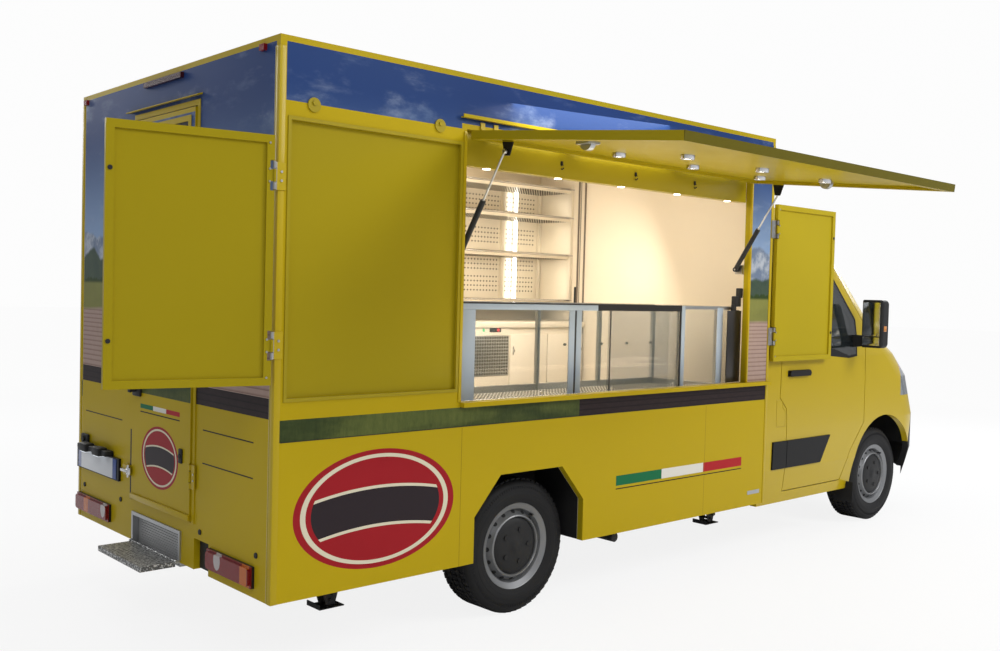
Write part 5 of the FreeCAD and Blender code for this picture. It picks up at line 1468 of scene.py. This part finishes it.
def cab_skin():
    """Yellow film with black trim: rubbing strip, handle, window seals, screen surround and sill."""
    s = Shader("cab_film")
    x, y, z = s.place()
    along, across = x - BOX_REAR, y - CENTRE_Y
    slope_end = (z - 0.530) * 0.645 + 4.247
    trim = along.between(3.655, 4.40) * z.between(0.5295, 0.7105) * along.below(slope_end + 0.002)
    trim = trim.either(along.between(3.818, 4.084) * z.between(1.130, 1.172))
    near_window = outside_of(along, z, WINDOW).below(0.017) * across.size().above(0.70)
    near_screen = outside_of(across, z, SCREEN).below(0.020) * along.above(4.50)
    cowl = z.between(1.384, 1.430) * along.above(5.03)
    black_parts = trim.either(near_window).either(near_screen).either(cowl).either(z.below(0.300))
    colour = s.mix(black_parts, painted(s, FILM), BLACK)
    return s.finish(Base_Color=colour, Roughness=0.26 + black_parts * 0.28 + s.noise(5.0, 3.0) * 0.07,
                    Coat_Weight=(1 - black_parts) * 0.22, Coat_Roughness=0.05,
                    Specular_IOR_Level=0.18,
                    Normal=s.bump(s.noise(150.0, 2.0), 0.04, 0.0006))


def lamp_skin():
    """Headlamp seen through its lens: a dark housing, two bright bowls, fine flutes and an amber corner."""
    s = Shader("headlamp_unit")
    _, y, z = s.place()
    across = (y - CENTRE_Y).size()

    def bowl(at_y, at_z, radius):
        u, v = across - at_y, z - at_z
        return (u * u + v * v).power(0.5) / radius
    main, side = bowl(0.820, 1.055, 0.078), bowl(0.690, 1.010, 0.055)
    lit = main.below(1.0).either(side.below(1.0))
    rim = main.between(0.86, 1.0).either(side.between(0.84, 1.0))
    flutes = (across * 90.0).fract().ramp(0.0, 0.5)
    colour = s.mix(lit, s.mix(flutes, (0.10, 0.11, 0.12), (0.24, 0.26, 0.28)), (0.66, 0.70, 0.74))
    colour = s.mix(rim, colour, (0.05, 0.05, 0.055))
    amber = z.above(1.135) * across.above(0.74)
    colour = s.mix(amber, colour, (0.62, 0.20, 0.015))
    return s.finish(Base_Color=colour, Roughness=0.12 + rim * 0.2, Metallic=lit * 0.4, Coat_Weight=1.0,
                    Coat_Roughness=0.02, Normal=s.bump(flutes, 0.10, 0.001))


def tail_skin():
    """Rear light clusters by field: deep red, a white reversing oval, an amber end and red corner markers."""
    s = Shader("tail_lamp_fields")
    x, y, z = s.place()
    across = (y - CENTRE_Y).size()
    prisms = ((y * 160.0).fract().ramp(0.0, 0.5)) * ((z * 160.0).fract().ramp(0.0, 0.5))
    low_lamp = z.below(0.60)
    u, v = (across - 0.640) / 0.030, (z - 0.440) / 0.042
    white = (u * u + v * v).below(1.0) * low_lamp
    amber = across.between(0.845, 0.905) * low_lamp
    colour = s.mix(prisms * 0.45, (0.155, 0.004, 0.006), (0.30, 0.012, 0.014))
    colour = s.mix(white, colour, (0.46, 0.41, 0.41))
    colour = s.mix(amber, colour, (0.50, 0.115, 0.006))
    colour = s.mix(z.above(2.50) * across.below(0.5), colour, (0.045, 0.004, 0.006))
    base = x.above(BOX_REAR - 0.0125) * low_lamp
    colour = s.mix(base, colour, (0.018, 0.012, 0.012))
    return s.finish(Base_Color=colour, Roughness=0.16 + base * 0.3, Coat_Weight=(1 - base) * 0.25,
                    Coat_Roughness=0.03, Specular_IOR_Level=0.25, Normal=s.bump(prisms, 0.20, 0.0008))


def hinge_skin():
    """Stainless hinge leaves on the boards and doors, yellow where they carry the awning."""
    s = Shader("hinge_leaf")
    x, y, z = s.place()
    yellow_leaf = (z.above(2.36) * y.below(BOX_RIGHT + 0.05)).either(y.above(BOX_RIGHT + 0.3))
    yellow_leaf = yellow_leaf.either(x.between(BOX_REAR - 0.010, BOX_REAR + 0.2))
    smudge = s.noise(2.5, 4.0)
    steel = s.mix(smudge, (0.50, 0.50, 0.49), (0.38, 0.38, 0.38))
    return s.finish(Base_Color=s.mix(yellow_leaf, steel, FILM), Metallic=1 - yellow_leaf,
                    Roughness=smudge * 0.1 + 0.26,
                    Specular_IOR_Level=0.3, Normal=s.bump(s.noise(200.0, 2.0), 0.04, 0.0003))


def front_wall_skin():
    """The box's front wall: yellow to the cab, cream lining inside."""
    s = Shader("front_wall")
    nx = s.normal()[0]
    outside = nx.above(0.5)
    return s.finish(Base_Color=s.mix(outside, painted(s, CREAM), painted(s, FILM)),
                    Roughness=0.40 - outside * 0.08,
                    Coat_Weight=0.1, Specular_IOR_Level=0.2, Normal=s.bump(s.noise(150.0, 2.0), 0.03, 0.0005))


def tread_skin():
    """Aluminium grip plate: raised bright studs over dull metal with dirt between them."""
    s = Shader("grip_plate")
    studs = s.noise(115.0, 2.0, 0.4).ramp(0.50, 0.60)
    colour = s.mix(studs, s.mix(s.noise(9.0, 4.0), (0.100, 0.100, 0.098), (0.170, 0.170, 0.168)),
                   (0.62, 0.62, 0.61))
    return s.finish(Base_Color=colour, Metallic=studs * 0.5 + 0.25, Roughness=0.52 - studs * 0.16,
                    Normal=s.bump(studs, 0.5, 0.0012))


def surface_of(*nodes):
    """A tree of the nodes' faces that can be asked where a ray meets them."""
    corners, faces = [], []
    for node in nodes:
        mesh = NODES[node].data
        start = len(corners)
        corners += [v.co.copy() for v in mesh.vertices]
        faces += [[start + i for i in p.vertices] for p in mesh.polygons]
    return BVHTree.FromPolygons(corners, faces)


def put_tube(bm, points, radius, sides=10):
    """A closed round bar along points."""
    rings = []
    for i, point in enumerate(points):
        ahead = points[min(i + 1, len(points) - 1)] - points[max(i - 1, 0)]
        turn = Vector((0, 0, 1)).rotation_difference(ahead).to_matrix()
        rings.append([bm.verts.new(point + turn @ Vector((radius * math.cos(t), radius * math.sin(t), 0)))
                      for t in (2 * math.pi * k / sides for k in range(sides))])
    skin_rings(bm, rings)


def wipers():
    """Two arms with their blades lying on the foot of the screen."""
    screen = surface_of("windscreen")

    def on_screen(across, z, off):
        point = screen.ray_cast(Vector((4.5, CENTRE_Y + across, z)), Vector((-1, 0, 0)))[0]
        return point + Vector((0.86, 0, 0.5)) * off

    def build(bm):
        for start, end in ((0.62, 0.02), (-0.06, -0.66)):
            blade = [on_screen(start + (end - start) * t, 1.462 + 0.055 * t, 0.010)
                     for t in (i / 10 for i in range(11))]
            put_tube(bm, blade, 0.006, 8)
            pivot_point = on_screen(start + 0.04, 1.436, 0.016)
            put_tube(bm, [pivot_point, (pivot_point + blade[5]) / 2 + Vector((0.010, 0, 0.004)), blade[5]],
                     0.006, 8)
            put_disc(bm, pivot_point, (0.86, 0, 0.5), 0.015, 0.018, 20)
    built("wipers", build, black, 50)


def mirror_faces():
    for side, body in (("left", "cab_door_left"), ("right", "vehicle")):
        low, high = lo(f"mirror_{side}"), hi(f"mirror_{side}")
        outer = (low.y, low.y + 0.160) if side == "right" else (high.y - 0.160, high.y)
        plain_box(f"mirror_glass_{side}", (low.x - 0.0015, outer[0] + 0.020, low.z + 0.085),
                  (low.x + 0.002, outer[1] - 0.014, high.z - 0.018), mirror_silver, 0.001, body)
        plain_box(f"mirror_wide_glass_{side}", (low.x - 0.0015, outer[0] + 0.020, low.z + 0.020),
                  (low.x + 0.002, outer[1] - 0.014, low.z + 0.078), mirror_silver, 0.001, body)
        edge = outer[0] if side == "right" else outer[1]
        inward = 1 if side == "right" else -1
        y0, y1 = sorted((edge - inward * 0.0005, edge + inward * 0.004))
        plain_box(f"mirror_repeater_{side}", (low.x + 0.022, y0, low.z + 0.120),
                  (low.x + 0.062, y1, low.z + 0.158), amber_lens, 0.0015, body)


def cab_details():
    """Front plate, mirrors, wipers, fog lamps, the grille's mesh and the dashboard's parts."""
    nose = hi("front_bumper").x
    plain_box("front_plate", (nose - 0.020, CENTRE_Y - 0.26, 0.585), (nose - 0.001, CENTRE_Y + 0.26, 0.695),
              plate, 0.001)
    mirror_faces()
    wipers()

    def fogs(bm):
        face = surface_of("front_bumper")
        for across in (-0.70, 0.70):
            point, normal, _, _ = face.ray_cast(Vector((4.0, CENTRE_Y + across, 0.470)), Vector((-1, 0, 0)))
            put_lathe(bm, [(0, 0.001), (0.036, 0.001), (0.044, -0.002), (0.046, -0.020), (0, -0.020)], point,
                      normal, 36)
    built("fog_lamps", fogs, lens_clear, 40)

    mesh_low = BOX_REAR + 5.55
    bars = repeated("grid", "block", black, Columns=27, Rows=1, Step_X=0.040, Step_Y=0.1,
                    Size=(0.006, 0.030, 0.240), Turn=(0, 0, math.pi / 2))
    bars.transform(Matrix.Translation((mesh_low + 0.285, CENTRE_Y, 0.925)))
    new_piece("grille_mesh", bars, black)

    def dash_parts(bm):
        top = hi("dashboard").z
        for across in (-0.62, -0.12, 0.12, 0.84):
            put_box(bm, at(4.500, 1.055 + across - 0.060, 1.200), at(4.530, 1.055 + across + 0.060, 1.262),
                    0.008)
        put_box(bm, at(4.478, 0.965, 1.030), at(4.520, 1.145, 1.170), 0.006)
        put_box(bm, at(4.545, 1.385, top - 0.012), at(4.700, 1.735, top + 0.052), 0.022)
    built("dash_parts", dash_parts, black, 40, slot="dash_plastic")


# ---------------------------------------------------------------- padded seats

def soft_pad(size, swell, rounding=0.030):
    """A stuffed pad about the origin, filled out by cloth pressure; swell caps how far a point may move."""
    shrink = swell * 0.8
    lean_size = [length - 2 * shrink for length in size]
    start = mesh_of("pad_start", lambda bm: put_box(bm, [-v / 2 for v in lean_size],
                                                    [v / 2 for v in lean_size],
                                                    rounding, 4))
    pad = bpy.data.objects.new("pad_work", start)
    scene.collection.objects.link(pad)
    remesh = pad.modifiers.new("even", "REMESH")
    remesh.mode, remesh.voxel_size = "VOXEL", 0.012
    bpy.context.view_layer.update()
    even = bpy.data.meshes.new_from_object(pad.evaluated_get(bpy.context.evaluated_depsgraph_get()))
    pad.modifiers.clear()
    pad.data = even
    before = [v.co.copy() for v in even.vertices]
    cloth = pad.modifiers.new("fill", "CLOTH").settings
    cloth.use_pressure, cloth.uniform_pressure_force, cloth.quality = True, 4.0, 5
    cloth.effector_weights.gravity = 0
    for frame_number in range(1, 21):
        scene.frame_set(frame_number)
    filled = bpy.data.meshes.new_from_object(pad.evaluated_get(bpy.context.evaluated_depsgraph_get()))
    pad.modifiers.clear()
    for old, vert, kept in zip(before, filled.vertices, even.vertices):
        move = vert.co - old
        kept.co = old + move.normalized() * min(move.length, swell)
    bpy.data.meshes.remove(filled)
    scene.frame_set(1)
    mesh = even.copy()
    bpy.data.objects.remove(pad)
    mesh.shade_smooth()
    return mesh


def sewn(mesh, lines, depth=0.007, wide=0.009):
    """Draw channels into a pad: each line is an axis and where it runs along that axis."""
    for vert in mesh.vertices:
        for axis, level, face, sign in lines:
            if vert.co[face] * sign <= 0:
                continue
            near = math.exp(-((vert.co[axis] - level) / wide) ** 2)
            vert.co[face] -= sign * depth * near
    mesh.update()


def dress_seats():
    """Two seats: cushion, back and headrest filled by pressure, then sewn, on a base with stems."""
    cushion = soft_pad((0.440, 0.470, 0.150), 0.012)
    sewn(cushion, [(1, -0.150, 2, 1), (1, 0.150, 2, 1), (0, 0.050, 2, 1)])
    back = soft_pad((0.105, 0.470, 0.640), 0.012)
    sewn(back, [(1, -0.150, 0, 1), (1, 0.150, 0, 1), (2, -0.080, 0, 1), (2, 0.140, 0, 1)])
    rest = soft_pad((0.085, 0.262, 0.165), 0.009, 0.026)
    first = True
    for name, across in (("right", -0.500), ("left", 0.500)):
        y = CENTRE_Y + across
        for label, mesh, turn, place in (
                ("cushion", cushion, math.radians(-3), (BOX_REAR + 4.205, y, 0.668)),
                ("back", back, math.radians(-8.3), (BOX_REAR + 3.898, y, 1.020)),
                ("headrest", rest, math.radians(-4), (BOX_REAR + 3.817, y, 1.478))):
            copy = mesh.copy()
            copy.transform(Matrix.Translation(place) @ Matrix.Rotation(turn, 4, "Y"))
            piece = new_piece(f"seat_{label}_{name}", copy, cloth)
            if first:
                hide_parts("seats")
                first = False

        def base(bm):
            put_box(bm, (BOX_REAR + 3.965, y - 0.195, 0.541), (BOX_REAR + 4.365, y + 0.195, 0.592), 0.010)
            for off in (-0.055, 0.055):
                put_disc(bm, (BOX_REAR + 3.828, y + off, 1.375), (0, 0, 1), 0.0065, 0.10, 16)
        built(f"seat_base_{name}", base, dash, 40)


# ---------------------------------------------------------------- materials, by slot and by node

yellow = paint("yellow_film", FILM)
board_yellow_and_shade = paint("yellow_board", BOARD_YELLOW_AND_SHADE)
# a painted-shade olive for the awning's yellow nosing
olive_edge = plastic("olive_edge", SHADE_OLIVE, 0.6, 200.0, 0.05)
black = plastic("black_plastic", BLACK)
rubber = plastic("tyre_rubber", (0.0085, 0.0085, 0.0095), 0.62, 420.0, 0.3)
silver = metal("silver_steel", (0.24, 0.245, 0.255), 0.34, (1, 1, 1), 0.03, 0.75)
chrome = metal("chromed_steel", (0.62, 0.62, 0.63), 0.14, (1, 1, 1), 0.01)
stainless = metal("stainless", (0.50, 0.50, 0.49), 0.24)
dark_steel = metal("dark_steel", (0.070, 0.065, 0.062), 0.26)
aluminium = metal("aluminium", (0.46, 0.47, 0.48), 0.36)
frame_steel = plastic("frame_steel", (0.016, 0.016, 0.017), 0.55, 200.0, 0.15)
cast = metal("cast_metal", (0.11, 0.11, 0.12), 0.55, (1, 1, 1), 0.2, 0.8)
clear = glass("clear_glass", (0.30, 0.36, 0.35), 0.02, 0.06)
rack_steel = metal("rack_steel", (0.80, 0.73, 0.60), 0.30, (1, 1, 1), 0.03, 0.5)
tray_steel = metal("tray_steel", (0.82, 0.76, 0.64), 0.32, (1, 1, 1), 0.03, 0.4)
pale_trim = plastic("pale_trim", (0.36, 0.42, 0.50), 0.45, 300.0, 0.05)
bright_alloy = metal("bright_alloy", (0.42, 0.42, 0.42), 0.40, (1, 60, 1), 0.05, 0.5)
smoked_glass = glass("smoked_glass", (0.10, 0.11, 0.10), 0.02, 0.25)
tinted = glass("tinted_glass", (0.020, 0.026, 0.028), 0.03, 0.72)
rear_glass = glass("rear_glass", (0.030, 0.045, 0.060), 0.03, 0.80)
lens_clear = glass("lamp_lens", (0.62, 0.65, 0.68), 0.05, 0.70)
amber_lens = glass("amber_lens", (0.60, 0.20, 0.01), 0.08, 0.95)
mirror_silver = metal("mirror_silver", (0.72, 0.74, 0.76), 0.04, (1, 1, 1), 0.0)
cream = paint("cream_panel", CREAM, 0.40, 0.1, 0.02)
seam_grey = plastic("seam_grey", (0.16, 0.13, 0.10), 0.6)
cloth = plastic("seat_cloth", (0.035, 0.035, 0.040), 0.88, 700.0, 0.4)
dash = plastic("dash_plastic", (0.030, 0.030, 0.033), 0.6, 500.0, 0.3)
# dark discs that stand for holes: painted shade where the sheet is open
hole_shade = plastic("punched_dark", (0.075, 0.066, 0.052), 0.7)
spot_light = glow("spot_light", (1.0, 0.93, 0.78), 7.0)
strip_light = glow("strip_light", (1.0, 0.95, 0.86), 6.0)
lamp_white = glow("plate_lamp", (0.9, 0.95, 1.0), 0.4)
switch_green = glow("switch_green", (0.02, 0.45, 0.16), 0.7)
switch_red = glow("switch_red", (0.55, 0.02, 0.02), 0.7)

BY_SLOT = {"yellow_paint": yellow, "printed_wrap": yellow, "black_plastic": black, "tyre_rubber": rubber,
           "silver_steel": silver, "stainless": stainless, "aluminium": aluminium, "frame_steel": frame_steel,
           "cast_metal": cast, "clear_glass": clear, "tinted_glass": tinted, "red_lens": tail_skin(),
           "lamp_lens": lamp_skin(), "cream_panel": cream, "seat_cloth": cloth, "dash_plastic": dash}
cab_film = cab_skin()
left_film = far_side()
BY_NODE = {"box_right_wall": serving_side(), "box_left_wall": left_film, "left_skirts": left_film,
           "box_rear_wall": rear_wall(), "rear_door": door_skin(), "box_roof": roof_skin(),
           # the rear board takes the darker board yellow and the front board a lighter one: lit and shaded
           # copies of one paint, painted light and shade
           "awning": lid_skin(), "side_board_rear": board_skin("rear_board_film", BOARD_YELLOW_AND_SHADE),
           "side_board_front": board_skin("front_board_film", (0.47, 0.36, 0.012)),
           "rear_door_glass": rear_glass,
           "cab_shell": cab_film, "cab_door_left": cab_film, "cab_door_right": cab_film, "bonnet": cab_film,
           "front_fenders": cab_film, "hinge_leaves": hinge_skin(), "step_tread": tread_skin(),
           "box_front_wall": front_wall_skin()}
plate = number_plate()

for part in frame["record"]["subparts"]:
    materials = NODES[part["node"]].data.materials
    materials.clear()
    materials.append(BY_NODE.get(part["node"], BY_SLOT[part["material_slot"]]))

# ---------------------------------------------------------------- the pieces

studio()
rear_fittings()
side_fittings()
board_fittings()
lid_fittings()
dress_wheels()
mudflaps()
lining()
hatch_header()
rack_low, rack_high = lo("shelf_rack"), hi("shelf_rack")
dress_rack("rear_rack", rack_low, rack_high, (1.250, 1.535, 1.790, 2.060), (1.40, 1.67, 1.93, 2.20),
           (rack_low.x + rack_high.x) / 2)
corner_rack()
tall_glass()
dress_counter()
dress_cabinets()
jack_feet()
new_piece("step_studs", step_grip(), aluminium, "step_tread")
cab_details()
dress_seats()
